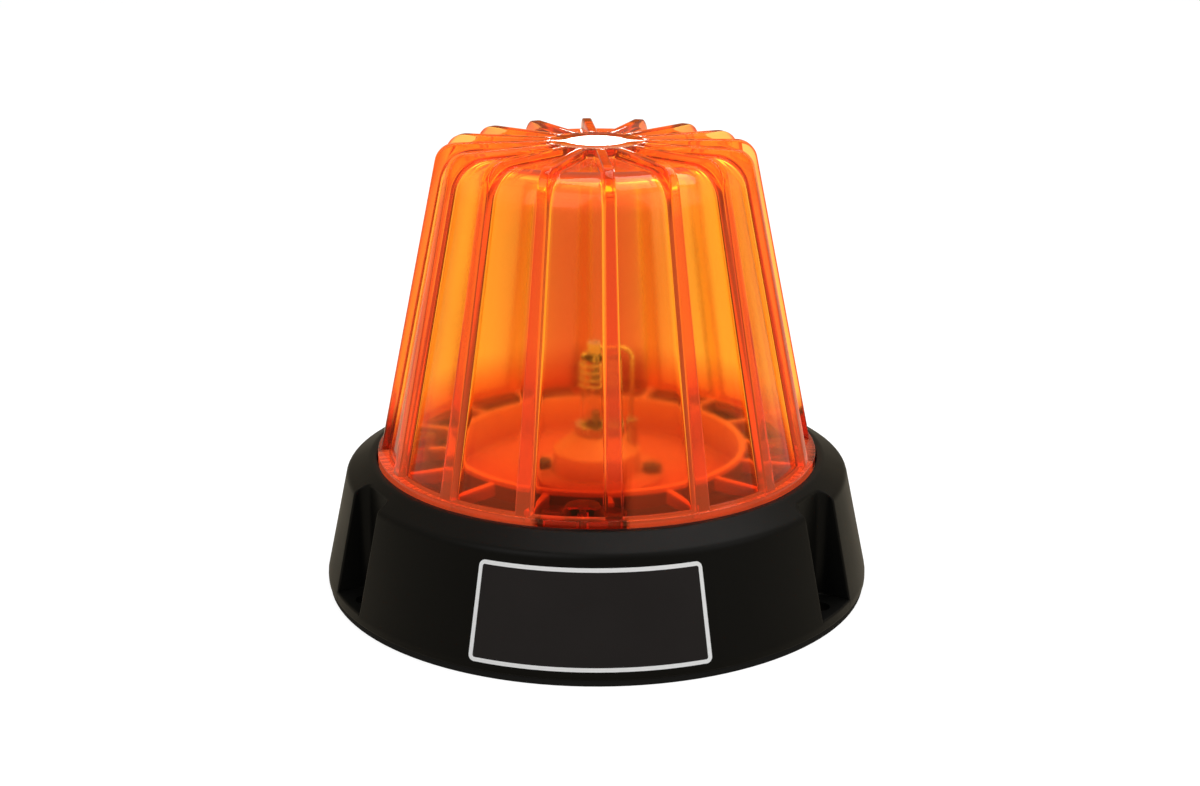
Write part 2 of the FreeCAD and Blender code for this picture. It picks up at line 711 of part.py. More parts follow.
terminal_plan = new_sketch(socket, "terminal_plan", lift=terminal_foot_z)
draw_circle(terminal_plan, lead_side, "0", terminal_dia)
pocket(socket, "terminal_seat", terminal_plan, "terminal_length")
keep(socket, lens_angle)

# Socket screws: one each side, through the flange and the tray's floor
socket_screws = new_body("socket_screws")
for part_name, bottom, diameter, length in (
        ("head", socket_flange_z, "screw_head_dia", "screw_head_thick"),
        ("shank", tray_under_z, "screw_dia", "tray_floor_thick + socket_flange_thick")):
    plan = new_sketch(socket_screws, f"{part_name}_plan", lift=bottom)
    for side in socket_sides:
        draw_circle(plan, side, "0", diameter)
    pad(socket_screws, part_name, plan, length)
keep(socket_screws, lens_angle)

# Socket contacts: brass sleeves that take the tube's pins and hang below the tray
contacts = new_body("socket_contacts")
contact_foot_z = f"({tray_under_z} - contact_drop)"
sleeve_plan = new_sketch(contacts, "sleeve_plan", lift=contact_foot_z)
for side in contact_sides:
    draw_circle(sleeve_plan, side, "0", contact_dia)
    draw_circle(sleeve_plan, side, "0", "pin_dia + 2 * plug_clearance")
pad(contacts, "sleeve", sleeve_plan, f"{bore_floor_z} - {contact_foot_z}")
keep(contacts, lens_angle)

# Socket leads: insulated wires from the board up to the contacts
leads = new_body("socket_leads")
lead_plan = new_sketch(leads, "plan", lift=board_top_z)
for side in contact_sides:
    draw_circle(lead_plan, side, "0", "lead_dia")
pad(leads, "wire", lead_plan, f"{contact_foot_z} - {board_top_z}")
keep(leads, lens_angle)

# Return lead terminal: a plated sleeve in the socket's shoulder, beside the tube
terminal = new_body("lead_terminal")
tube_plan = new_sketch(terminal, "tube_plan", lift=terminal_foot_z)
draw_circle(tube_plan, lead_side, "0", terminal_dia)
pad(terminal, "tube", tube_plan, "terminal_length")
bore_plan = new_sketch(terminal, "bore_plan", lift=f"{terminal_foot_z} + terminal_floor")
draw_circle(bore_plan, lead_side, "0", terminal_bore_dia)
pocket(terminal, "bore", bore_plan, "terminal_length")
keep(terminal, lens_angle)

# Flash tube: base cap and pins that plug into the socket
tube_cap = new_body("tube_cap")
cap_foot_z = f"({bore_floor_z} + plug_gap)"
collar_z = f"({socket_top_z} + plug_gap)"
cap_top_z = f"({collar_z} + cap_collar_thick)"
glass_foot_z = f"({cap_top_z} - glass_seat)"
glass_r = "(glass_dia / 2)"
glass_pocket_r = f"({glass_r} + glue_gap)"
collar_r = "cap_collar_dia / 2"
revolve(tube_cap, "cap", [
    ("0", cap_foot_z), (plug_r, cap_foot_z), (plug_r, collar_z), (collar_r, collar_z),
    (collar_r, cap_top_z), (glass_pocket_r, cap_top_z), (glass_pocket_r, glass_foot_z), ("0", glass_foot_z)])
keep(tube_cap, lens_angle)

tube_pins = new_body("tube_pins")
pin_plan = new_sketch(tube_pins, "plan", lift=f"{cap_foot_z} - pin_length")
for side in contact_sides:
    draw_circle(pin_plan, side, "0", "pin_dia")
pad(tube_pins, "pin", pin_plan, "pin_length")
keep(tube_pins, lens_angle)

# Tube glass: quartz, open into the cap and drawn to a hole for the upper electrode
tube_glass = new_body("tube_glass")
glass_inner_r = f"({glass_r} - glass_wall)"
glass_top_z = f"({glass_foot_z} + glass_length)"
glass_neck_r = "(electrode_dia / 2 + glue_gap)"
glass_ceiling_z = f"({glass_top_z} - 2 * glass_wall)"
glass_body = revolve(tube_glass, "envelope", [
    (glass_inner_r, glass_foot_z), (glass_r, glass_foot_z), (glass_r, glass_top_z),
    (glass_neck_r, glass_top_z), (glass_neck_r, glass_ceiling_z), (glass_inner_r, glass_ceiling_z)])
round_rim(tube_glass, "dome", glass_body, glass_r, glass_top_z, "min(glass_dome, 2 * glass_wall)")
keep(tube_glass, lens_angle)


def electrode(name, root_z, tip_z, upward):
    """A tungsten rod with a thicker tip at its free end."""
    body = new_body(name)
    neck_z = f"{tip_z} - electrode_tip_length" if upward else f"{tip_z} + electrode_tip_length"
    rod_r = "electrode_dia / 2"
    tip_r = "electrode_tip_dia / 2"
    revolve(body, "rod", [
        ("0", root_z), (rod_r, root_z), (rod_r, neck_z), (tip_r, neck_z), (tip_r, tip_z), ("0", tip_z)])
    return keep(body, lens_angle)


top_cap_z = f"({glass_top_z} + top_cap_rise)"
electrode("lower_electrode", glass_foot_z, f"{glass_foot_z} + electrode_reach", upward=True)
electrode("upper_electrode", top_cap_z, f"{glass_top_z} - electrode_reach", upward=False)
top_cap = new_body("tube_top_cap")
revolve(top_cap, "ring", rectangle(glass_neck_r, "top_cap_dia / 2", glass_top_z, top_cap_z))
keep(top_cap, lens_angle)

# Return lead: stiff wire from the top cap, over and down into its terminal
lead_start = "(top_cap_dia / 2 + glue_gap)"
lead_z = f"({glass_top_z} + top_cap_rise / 2)"
lead_bend_z = f"({lead_z} - lead_bend)"
lead_tip_z = f"({terminal_foot_z} + terminal_floor + lead_tip_gap)"
lead_run_length = f"{lead_side} - lead_bend - {lead_start}"
lead_run = upright("lead_run", "return_lead_dia", lead_run_length, lead_start, "0", lead_z)
lead_run.Placement.Rotation = FreeCAD.Rotation(FreeCAD.Vector(0, 1, 0), 90)
lead_elbow = doc.addObject("Part::Torus", "lead_elbow")
lead_elbow.Angle3 = 90
bind(lead_elbow, "Radius1", "lead_bend")
bind(lead_elbow, "Radius2", "return_lead_dia / 2")
lead_elbow.Placement.Rotation = FreeCAD.Rotation(FreeCAD.Vector(1, 0, 0), 90)
place(lead_elbow, f"{lead_side} - lead_bend", "0", lead_bend_z)
lead_drop_length = f"{lead_bend_z} - {lead_tip_z}"
lead_drop = upright("lead_drop", "return_lead_dia", lead_drop_length, lead_side, "0", lead_tip_z)
keep(fuse("return_lead", [lead_run, lead_elbow, lead_drop]), lens_angle)

# Trigger wire: fine nickel wire wound round the glass, with a tail down to the cap
trigger_wire = new_body("trigger_wire")
coil_r = f"({glass_r} + wire_dia / 2 + glue_gap)"
coil_height = "(wire_pitch * wire_turns)"
coil_z = f"({glass_top_z} - wire_drop - {coil_height})"
wire_section = draw_circle(new_sketch(trigger_wire, "section", "XZ_Plane"), coil_r, coil_z, "wire_dia")
coil = trigger_wire.newObject("PartDesign::AdditiveHelix", "trigger_wire_coil")
coil.Profile = wire_section
coil.ReferenceAxis = (wire_section, ["V_Axis"])
coil.Mode = "pitch-height-angle"
bind(coil, "Pitch", "wire_pitch")
bind(coil, "Height", coil_height)
trigger_wire.Tip = coil
tail_plan = draw_circle(new_sketch(trigger_wire, "tail_plan", lift=cap_top_z), coil_r, "0", "wire_dia")
pad(trigger_wire, "tail", tail_plan, f"{coil_z} - {cap_top_z}")
keep(trigger_wire, lens_angle)

# Circuit board: a glass-fibre disc on brass standoffs, holed for the cable
board = new_body("circuit_board")
board_plan = draw_circle(new_sketch(board, "plan", lift=board_z), "0", "0", f"2 * {board_r}")
draw_circle(board_plan, "0", "cable_back", "cable_hole_dia")
pad(board, "disc", board_plan, "board_thick")
board_hole_plan = new_sketch(board, "hole_plan", lift=board_z, turn=cover_screw_angle)
draw_circle(board_hole_plan, "0", f"-{board_screw_r}", screw_hole_dia)
around(board, [pocket(board, "screw_hole", board_hole_plan, "board_thick")], "boss_count")
keep(board)

standoffs = new_body("board_standoffs")
standoff_plan = new_sketch(standoffs, "plan", lift=cover_z, turn=cover_screw_angle)
draw_circle(standoff_plan, "0", f"-{board_screw_r}", "standoff_dia")
draw_circle(standoff_plan, "0", f"-{board_screw_r}", screw_hole_dia)
around(standoffs, [pad(standoffs, "tube", standoff_plan, "standoff_height")], "boss_count")
keep(standoffs)
screw_ring("board_screws", board_screw_r, cover_screw_angle, board_top_z, "screw_head_dia",
           f"{board_z} - board_screw_grip", "screw_dia", "board_thick + board_screw_grip")

# Storage capacitor: lies on the board beside the socket leads
capacitor = lying("storage_capacitor", "capacitor_dia", "capacitor_length",
                  "-capacitor_side", "0", f"{board_top_z} + capacitor_dia / 2")
keep(capacitor)

# Inverter transformer: a ferrite core with two windows, and the winding round its middle leg
core_block = block("core_block", "core_length", "core_depth", "core_height",
                   "core_side", "core_back", board_top_z)
window_length = "((core_length - 3 * core_leg) / 2)"
window_height = "(core_height - 2 * core_leg)"
window_z = f"({board_top_z} + core_leg)"
core_windows = []
for window_name, direction in (("core_window_inner", "-"), ("core_window_outer", "+")):
    window_x = f"core_side {direction} (core_leg + {window_length}) / 2"
    core_windows.append(block(window_name, window_length, "2 * core_depth", window_height,
                              window_x, "core_back", window_z))
keep(cut("transformer_core", core_block, fuse("core_windows", core_windows)))
winding_block = block("winding_block", "core_length - 2 * core_leg - 2 * winding_gap", "winding_depth",
                      f"{window_height} - 2 * winding_gap",
                      "core_side", "core_back", f"{window_z} + winding_gap")
winding_core = block("winding_core", "core_leg + 2 * winding_gap", "core_depth + 2 * winding_gap",
                     window_height, "core_side", "core_back", window_z)
keep(cut("transformer_winding", winding_block, winding_core))

# Trigger transformer: a potted coil that stands on the board, with its core showing at the top
trigger_can = upright("trigger_can", "trigger_dia", "trigger_height",
                      "trigger_side", "-trigger_front", board_top_z)
trigger_core = upright("trigger_core", "trigger_core_dia", "trigger_height + trigger_core_rise",
                       "trigger_side", "-trigger_front", board_top_z)
keep(fuse("trigger_transformer", [trigger_can, trigger_core]))

# Heat sink: a bent plate on the board, with the power transistor screwed to its back
sink_plate = block("sink_plate", "sink_length", "sink_thick", "sink_height",
                   "0", "-sink_front", board_top_z)
sink_sole = block("sink_sole", "sink_length", "sink_foot", "sink_thick",
                  "0", "-(sink_front + sink_foot / 2 - sink_thick / 2)", board_top_z)
sink_back_y = "(-sink_front + sink_thick / 2)"
transistor_z = f"({board_top_z} + sink_height - transistor_height)"
sink_screw_z = f"({transistor_z} + transistor_height / 2)"
sink_screw_length = "(transistor_thick + sink_thick)"
sink_screw_y = f"({sink_back_y} - sink_thick + {sink_screw_length} / 2)"


def sink_rod(name, diameter, length, y):
    """A cylinder on the axis of the transistor's screw."""
    return lying(name, diameter, length, "0", y, sink_screw_z)


sink_solid = fuse("sink_solid", [sink_plate, sink_sole])
sink_hole = sink_rod("sink_hole", screw_hole_dia, "3 * sink_thick", "-sink_front")
keep(cut("heat_sink", sink_solid, sink_hole))
transistor_y = f"({sink_back_y} + transistor_thick / 2)"
transistor_block = block("transistor_block", "transistor_length", "transistor_thick", "transistor_height",
                         "0", transistor_y, transistor_z)
transistor_hole = sink_rod("transistor_hole", screw_hole_dia, "2 * transistor_thick", transistor_y)
transistor_body = cut("transistor_body", transistor_block, transistor_hole)
transistor_legs = [
    block(f"transistor_leg_{index}", "contact_wall", "contact_wall", f"{transistor_z} - {board_top_z}",
          f"{step} * transistor_length / 4", transistor_y, board_top_z)
    for index, step in enumerate((-1, 0, 1), start=1)]
keep(fuse("power_transistor", [transistor_body] + transistor_legs))
sink_screw_head = sink_rod("sink_screw_head", "screw_head_dia", "screw_head_thick",
                           f"{sink_back_y} + transistor_thick + screw_head_thick / 2")
sink_screw_shank = sink_rod("sink_screw_shank", "screw_dia", sink_screw_length, sink_screw_y)
keep(fuse("heat_sink_screw", [sink_screw_head, sink_screw_shank]))

# Terminal block: takes the two supply wires beside the cable entry
terminal_box = block("terminal_box", "block_length", "block_depth", "block_height",
                     "0", "block_back", board_top_z)
wire_ways = [
    lying(f"wire_way_{index}", "block_wire_dia", "2 * block_depth", f"{step} * block_pitch / 2",
          "block_back + block_depth", f"{board_top_z} + block_height / 2")
    for index, step in enumerate((-1, 1), start=1)]
keep(cut("terminal_block", terminal_box, fuse("wire_ways", wire_ways)))

# Timing chip, resistors and diodes: low parts on the board
keep(block("timing_chip", "chip_length", "chip_depth", "chip_height",
           "chip_side", "-chip_front", board_top_z))
resistors = [
    lying(f"resistor_{index + 1}", "resistor_dia", "resistor_length",
          f"-resistor_side - {index} * resistor_pitch", "-resistor_front",
          f"{board_top_z} + resistor_dia / 2")
    for index in range(round(number("resistor_count")))]
keep(group("resistors", resistors))
diodes = [
    lying(f"diode_{index + 1}", "diode_dia", "diode_length", f"-diode_side - {index} * diode_pitch",
          "diode_back", f"{board_top_z} + diode_dia / 2")
    for index in range(round(number("diode_count")))]
keep(group("diodes", diodes))

doc.recompute()
faults = [item.Name for item in doc.Objects if {"Invalid", "Error"} & set(item.State)]
faults += [item.Label for item in nodes if item.Shape.isNull() or not item.Shape.isValid()]
if faults:
    raise RuntimeError(f"not built: {faults}")

os.makedirs("parts", exist_ok=True)
for item in nodes:
    item.Shape.exportStep(f"parts/{item.Label}.step")
    print(f"{item.Label}: {len(item.Shape.Solids)} solids, {item.Shape.Volume:.1f} mm3")
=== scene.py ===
"""Looks of an amber strobe beacon, from the surface that it is screwed to upwards.

Sizes are in millimetres until a mesh is made, and angles run from the front, -Y, towards +X.
"""
import json

import bpy
import numpy as np
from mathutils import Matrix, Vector


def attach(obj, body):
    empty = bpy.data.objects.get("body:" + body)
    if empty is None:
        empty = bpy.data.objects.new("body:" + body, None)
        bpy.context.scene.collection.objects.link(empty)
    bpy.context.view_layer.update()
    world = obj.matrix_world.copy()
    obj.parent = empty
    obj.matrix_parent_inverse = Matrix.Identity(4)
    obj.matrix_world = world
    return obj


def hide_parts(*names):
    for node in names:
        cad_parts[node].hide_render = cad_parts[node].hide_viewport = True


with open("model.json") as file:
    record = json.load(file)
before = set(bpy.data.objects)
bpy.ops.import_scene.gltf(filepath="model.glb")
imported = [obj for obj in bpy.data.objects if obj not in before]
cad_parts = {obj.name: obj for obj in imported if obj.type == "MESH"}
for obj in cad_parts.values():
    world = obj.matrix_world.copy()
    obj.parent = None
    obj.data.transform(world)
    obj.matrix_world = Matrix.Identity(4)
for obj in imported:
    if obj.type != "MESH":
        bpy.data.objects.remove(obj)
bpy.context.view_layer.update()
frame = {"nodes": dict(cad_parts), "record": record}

# Mounting gasket: a flat ring of black rubber, die cut with three screw holes.
# It is trapped between the base and the carrying surface.
gasket_thick = 2.0
gasket_inner_r = 62.0
gasket_outer_r = 79.5
gasket_edge = 0.15
mount_r = 74.0
mount_hole_r = 2.9
mount_angles = np.radians([180.0, 300.0, 60.0])
bore_past = 1.0
crisp_angle = 38.0


def round_points(r, z, angle):
    """Points from radius, height and the angle from the front."""
    return np.stack([r * np.sin(angle), -r * np.cos(angle), z + 0 * angle], axis=-1).reshape(-1, 3)


def ring_places(r, angles):
    """Places across and along, spaced round a circle."""
    return r * np.stack([np.sin(angles), -np.cos(angles)], axis=1)


def grid_faces(rows, columns, close_rows=False):
    """Quads of a grid stored row by row, closed round its columns, and round its rows if asked."""
    row_count = rows if close_rows else rows - 1
    row, column = np.meshgrid(np.arange(row_count), np.arange(columns), indexing="ij")
    row_after = (row + 1) % rows
    column_after = (column + 1) % columns
    corners = [row * columns + column, row * columns + column_after,
               row_after * columns + column_after, row_after * columns + column]
    return np.stack(corners, axis=-1).reshape(-1, 4)


def capped_faces(rows, columns):
    """Quads of a grid closed round its columns, with a flat end over its first and its last row."""
    ends = [list(range(columns - 1, -1, -1)), list(range((rows - 1) * columns, rows * columns))]
    return grid_faces(rows, columns).tolist() + ends


def make_mesh(name, points, faces, sharp=crisp_angle):
    """A smooth mesh from points in millimetres, with edges sharper than an angle in degrees left crisp."""
    mesh = bpy.data.meshes.new(name)
    mesh.from_pydata((points * 0.001).tolist(), [], [list(face) for face in faces])
    mesh.update()
    mesh.shade_smooth()
    mesh.set_sharp_from_angle(angle=np.radians(sharp))
    return mesh


def joined_mesh(name, solids, sharp=crisp_angle):
    """One mesh from several closed solids, each given as its points and faces. A solid's corners are
    counted on from those of the solids before it."""
    starts = np.cumsum([0] + [len(points) for points, own in solids])
    faces = [[corner + start for corner in face]
             for start, (points, own) in zip(starts, solids)
             for face in own]
    return make_mesh(name, np.concatenate([points for points, own in solids]), faces, sharp)


def combined(mesh, other, operation, sharp=crisp_angle):
    """The first solid with the second one joined to it or taken away from it."""
    solids = [bpy.data.objects.new("solid", part) for part in (mesh, other)]
    for solid in solids:
        bpy.context.scene.collection.objects.link(solid)
    step = solids[0].modifiers.new("combine", "BOOLEAN")
    step.operation = operation
    step.solver = "EXACT"
    step.object = solids[1]
    evaluated = solids[0].evaluated_get(bpy.context.evaluated_depsgraph_get())
    result = bpy.data.meshes.new_from_object(evaluated)
    for solid in solids:
        bpy.data.objects.remove(solid)
    result.name = mesh.name
    result.shade_smooth()
    result.set_sharp_from_angle(angle=np.radians(sharp))
    return result


def upright_round(middle, radius, low, high, sides=48):
    """An upright cylinder: one ring of points at each of two heights."""
    turn = np.linspace(0, 2 * np.pi, sides, endpoint=False)
    ring = np.stack([np.cos(turn), np.sin(turn)], axis=1) * radius + middle
    rings = [np.column_stack([ring, np.full(sides, z)]) for z in (low, high)]
    return np.concatenate(rings), capped_faces(len(rings), sides)


def bored(mesh, places, radius, low, high, sharp=crisp_angle):
    """The mesh with upright round holes cut into it."""
    holes = joined_mesh("holes", [upright_round(place, radius, low, high) for place in places])
    return combined(mesh, holes, "DIFFERENCE", sharp)


def section_rows(corners, trims, steps=5, hold=1.4):
    """Rows along a closed section, whose corners are (corner, radius and height, column). Each corner is
    cut back by its trim along both sides and bridged by a quadratic arc. One more row on each side, at
    hold times the trim, keeps the flat level."""
    back = np.roll(corners, 1, axis=0) - corners
    ahead = np.roll(corners, -1, axis=0) - corners
    back = back / np.linalg.norm(back, axis=1, keepdims=True) * trims
    ahead = ahead / np.linalg.norm(ahead, axis=1, keepdims=True) * trims
    step = np.linspace(0, 1, steps)[:, None, None, None]
    arc = corners + (1 - step) ** 2 * back + step ** 2 * ahead
    rows = np.concatenate([(corners + hold * back)[None], arc, (corners + hold * ahead)[None]])
    return rows.transpose(1, 0, 2, 3).reshape(-1, 2, corners.shape[2])


def turned(corners, trims, columns=128):
    """A ring turned from a closed section of radius and height corners, each rounded by its trim."""
    section = np.array(corners, float)[:, :, None] * np.ones(columns)
    rows = section_rows(section, np.array(trims, float)[:, None, None])
    angle = np.linspace(0, 2 * np.pi, columns, endpoint=False)
    faces = grid_faces(len(rows), columns, close_rows=True).tolist()
    return round_points(rows[:, 0], rows[:, 1], angle), faces


def make_piece(name, mesh, material, body, slot, *nodes):
    """Shows a mesh in place of CAD nodes, on their body and with one material. The slot is not used."""
    piece = bpy.data.objects.new(name, mesh)
    bpy.context.scene.collection.objects.link(piece)
    mesh.materials.clear()
    mesh.materials.append(material)
    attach(piece, body)
    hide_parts(*nodes)
    return piece


def build_mould_grain():
    """Two noises on Object coordinates: a fine one, as a mould's etched face leaves it, and a broad
    one for the slow drift of tone and gloss over a moulding."""
    group = bpy.data.node_groups.new("mould_grain", "ShaderNodeTree")
    for name in ("Fine Scale", "Broad Scale"):
        group.interface.new_socket(name, in_out="INPUT", socket_type="NodeSocketFloat")
    for name in ("Fine", "Broad"):
        group.interface.new_socket(name, in_out="OUTPUT", socket_type="NodeSocketFloat")
    nodes, links = group.nodes, group.links
    entry = nodes.new("NodeGroupInput")
    leave = nodes.new("NodeGroupOutput")
    place = nodes.new("ShaderNodeTexCoord")
    for name, detail in (("Fine", 3.0), ("Broad", 2.0)):
        noise = nodes.new("ShaderNodeTexNoise")
        noise.inputs["Detail"].default_value = detail
        links.new(place.outputs["Object"], noise.inputs["Vector"])
        links.new(entry.outputs[f"{name} Scale"], noise.inputs["Scale"])
        links.new(noise.outputs["Fac"], leave.inputs[name])
    return group


mould_grain = build_mould_grain()


def add_grain(tree, fine, broad):
    """The grain group with its two scales set."""
    grain = tree.nodes.new("ShaderNodeGroup")
    grain.node_tree = mould_grain
    grain.inputs["Fine Scale"].default_value = fine
    grain.inputs["Broad Scale"].default_value = broad
    return grain


def blend_colours(tree, mask, low, high):
    """A colour that runs from one to the other as a mask goes from 0 to 1."""
    blend = tree.nodes.new("ShaderNodeMix")
    blend.data_type = "RGBA"
    for socket, colour in (("A", low), ("B", high)):
        if isinstance(colour, tuple):
            blend.inputs[socket].default_value = (*colour, 1.0)
        else:
            tree.links.new(colour, blend.inputs[socket])
    tree.links.new(mask, blend.inputs["Factor"])
    return blend.outputs["Result"]


def spread_values(tree, mask, low, high, start=0.3, end=0.7, kind="LINEAR"):
    """A value that runs from low to high as a mask goes from start to end, or else over the middle of a
    noise's range."""
    spread = tree.nodes.new("ShaderNodeMapRange")
    spread.interpolation_type = kind
    for socket, value in (("From Min", start), ("From Max", end), ("To Min", low), ("To Max", high)):
        spread.inputs[socket].default_value = value
    tree.links.new(mask, spread.inputs["Value"])
    return spread.outputs["Result"]


def add_relief(tree, height, depth, strength=0.6):
    """The normal of a surface whose height varies by a depth in millimetres."""
    bump = tree.nodes.new("ShaderNodeBump")
    bump.inputs["Strength"].default_value = strength
    bump.inputs["Distance"].default_value = depth * 0.001
    tree.links.new(height, bump.inputs["Height"])
    return bump.outputs["Normal"]


def new_finish(name, sockets):
    """A material whose plain values are set on the shader's own sockets."""
    material = bpy.data.materials.new(name)
    material.use_nodes = True
    shader = material.node_tree.nodes["Principled BSDF"]
    for socket, value in sockets.items():
        shader.inputs[socket].default_value = value
    return material, material.node_tree, shader


def grained_finish(name, colours, gloss, scales, depth, sockets):
    """A finish with grain: the broad noise drifts the colour and the roughness, the fine one is relief."""
    material, tree, shader = new_finish(name, sockets)
    grain = add_grain(tree, *scales)
    tree.links.new(blend_colours(tree, grain.outputs["Broad"], *colours), shader.inputs["Base Color"])
    tree.links.new(spread_values(tree, grain.outputs["Broad"], *gloss), shader.inputs["Roughness"])
    tree.links.new(add_relief(tree, grain.outputs["Fine"], depth), shader.inputs["Normal"])
    return material


gasket_rubber = grained_finish(
    "gasket_rubber", ((0.006, 0.006, 0.006), (0.014, 0.014, 0.0135)), (0.7, 0.85), (900.0, 40.0), 0.05,
    {"Specular IOR Level": 0.15})
gasket_solid = turned([(gasket_inner_r, 0), (gasket_outer_r, 0), (gasket_outer_r, gasket_thick),
                       (gasket_inner_r, gasket_thick)], [gasket_edge] * 4)
gasket_mesh = bored(make_mesh("gasket", *gasket_solid), ring_places(mount_r, mount_angles), mount_hole_r,
                    -bore_past, gasket_thick + bore_past)
make_piece("gasket", gasket_mesh, gasket_rubber, "base", "gasket_rubber", "mounting_gasket")

# Base housing: one black satin moulding with a leaning wall, a sloping shoulder, a recess for the lens
# and a deck under it. Three channels run down the wall to floors that the mounting screws clamp.
base_r = 80.0
shoulder_r = 73.4
crest_r = 66.4
recess_r = 64.6
deck_opening_r = 44.5
bay_r = 66.0
wall_thick = 3.0
foot_z = gasket_thick
band_z = 4.0
floor_z = 5.0
shoulder_z = 34.3
crest_z = 38.4
deck_z = 36.0
deck_under_z = 33.0
channel_back = 69.0
channel_half = 8.5
channel_corner = 3.0
channel_edge = 0.6
channel_lip = 0.1
channel_step = 2 * np.pi / len(mount_angles)
wall_start_z = 7.0
wall_columns = 32


def wall_r(z):
    """The wall leans in evenly from its foot band to the shoulder."""
    return base_r + (shoulder_r - base_r) * (z - band_z) / (shoulder_z - band_z)


def housing_top(r):
    """Height of the outer surface over a radius: the shoulder's slope inside, the wall outside it."""
    slope = shoulder_z + (shoulder_r - r) * (crest_z - shoulder_z) / (shoulder_r - crest_r)
    wall = shoulder_z - (r - shoulder_r) * (shoulder_z - band_z) / (base_r - shoulder_r)
    return np.where(r < shoulder_r, slope, wall)


def housing_columns():
    """Columns of one third of the housing, as rows of: offset across the channel, angle from its middle,
    cut back of the wall, back of the channel or 0, and whether the wall is solid behind.
    Through the channel and its edges a column keeps its offset, and further on it keeps its angle."""
    turn = np.radians(np.linspace(0, 90, 7))
    flat = channel_half - channel_corner
    back_u = np.concatenate([[0, flat / 2], flat + channel_corner * np.sin(turn)])
    back_v = np.concatenate([[channel_back] * 2, channel_back + channel_corner * (1 - np.cos(turn))])
    edge_turn = np.radians(np.linspace(0, 90, 5))
    beyond = channel_half + channel_edge * np.array([1.5, 2.8])
    edge_u = np.concatenate([channel_half + channel_edge * (1 - np.cos(edge_turn)), beyond])
    edge_cut = np.concatenate([channel_edge * (1 - np.sin(edge_turn)), [0, 0]])
    half = np.zeros((5, len(back_u) + len(edge_u) + 1))
    half[0, :-1] = np.concatenate([back_u, edge_u])
    half[2, len(back_u):-1] = edge_cut
    half[3, :len(back_u)] = back_v
    half[4] = 1
    solid_angle = np.arctan((channel_half + wall_thick) / channel_back)
    half[1, -1] = solid_angle
    mirrored = half[:, :0:-1] * np.array([[-1], [-1], [1], [1], [1]])
    between = np.zeros((len(half), wall_columns))
    between[1] = np.linspace(solid_angle, channel_step - solid_angle, wall_columns)
    return np.concatenate([mirrored, half, between], axis=1)


def housing_mesh():
    """The section is carried round in columns: through a channel its wall drops to the channel's floor and
    back, elsewhere it keeps the leaning wall, and behind the channels it is solid to the bay."""
    across, angle, edge, back, solid = np.tile(housing_columns(), len(mount_angles))
    third = np.repeat(mount_angles, len(across) // len(mount_angles))
    in_channel = back > 0
    back_r = np.hypot(across, back)
    rim_r = np.where(in_channel, back_r, shoulder_r - edge)
    one = np.ones_like(across)
    corners = np.array([
        [np.where(solid, bay_r, base_r - wall_thick), foot_z * one],
        [base_r * one, foot_z * one],
        [np.where(in_channel, base_r - channel_lip, base_r), np.where(in_channel, floor_z, band_z)],
        [np.where(in_channel, back_r, wall_r(wall_start_z) - edge),
         np.where(in_channel, floor_z, wall_start_z)],
        [rim_r, housing_top(rim_r)],
        [crest_r * one, crest_z * one],
        [recess_r * one, crest_z * one],
        [recess_r * one, deck_z * one],
        [deck_opening_r * one, deck_z * one],
        [deck_opening_r * one, deck_under_z * one],
        [np.where(solid, bay_r, wall_r(deck_under_z) - wall_thick), deck_under_z * one],
        [np.where(solid, bay_r, base_r - wall_thick), band_z * one]])
    # One trim to a corner, in the same order. The shoulder's is smaller where a channel cuts it.
    trims = np.array([0.3, 0.4, 0.5, 0.8, 1.1, 0.7, 0.35, 0.3, 0.4, 0.4, 0.4, 0.3])[:, None] * one
    trims[4, in_channel] = channel_edge
    rows = section_rows(corners, trims[:, None, :])
    r, z = rows[:, 0], rows[:, 1]
    turn = third + angle + np.arcsin(across / r)
    mesh = make_mesh("base_housing", round_points(r, z, turn), grid_faces(*r.shape, close_rows=True))
    return bored(mesh, ring_places(mount_r, mount_angles), mount_hole_r, foot_z - bore_past,
                 floor_z + bore_past)


black_housing = grained_finish(
    "black_housing", ((0.0022, 0.0022, 0.002), (0.0042, 0.0042, 0.0038)), (0.36, 0.46), (1300.0, 28.0),
    0.02, {"Specular IOR Level": 0.1})
make_piece("beacon_base", housing_mesh(), black_housing, "base", "black_housing", "base_housing")

# Label: a thin printed film with rounded corners, stuck to the front of the wall. Its field is a dark
# satin grey, with one white line printed round its edge.
label_low = 4.35
label_high = 31.2
label_lift = 0.06
label_turn = np.radians(0.85)
label_taper = 0.0168
label_corner = 1.7
label_line = 1.1
label_crisp_angle = 30.0
label_rings = 25
label_innermost = 0.02
label_half_angle = np.radians(23.475)
label_middle = (label_low + label_high) / 2
label_r = wall_r(label_middle)
label_half = np.array([label_half_angle * label_r, (label_high - label_low) / 2])


def rounded_outline(half, corner, sides=14, turns=7):
    """Points round a rectangle whose corners are quarter circles."""
    turn = np.radians(np.linspace(0, 90, turns))
    quarter = np.stack([np.cos(turn), np.sin(turn)], axis=1) * corner + (np.array(half) - corner)
    flips = ((1, 1), (-1, 1), (-1, -1), (1, -1))
    arcs = [(quarter if flip[0] * flip[1] > 0 else quarter[::-1]) * flip for flip in flips]
    share = np.linspace(0, 1, sides + 2)[1:-1, None]
    runs = [np.concatenate([arc, arc[-1] + (after[0] - arc[-1]) * share])
            for arc, after in zip(arcs, arcs[1:] + arcs[:1])]
    return np.concatenate(runs)


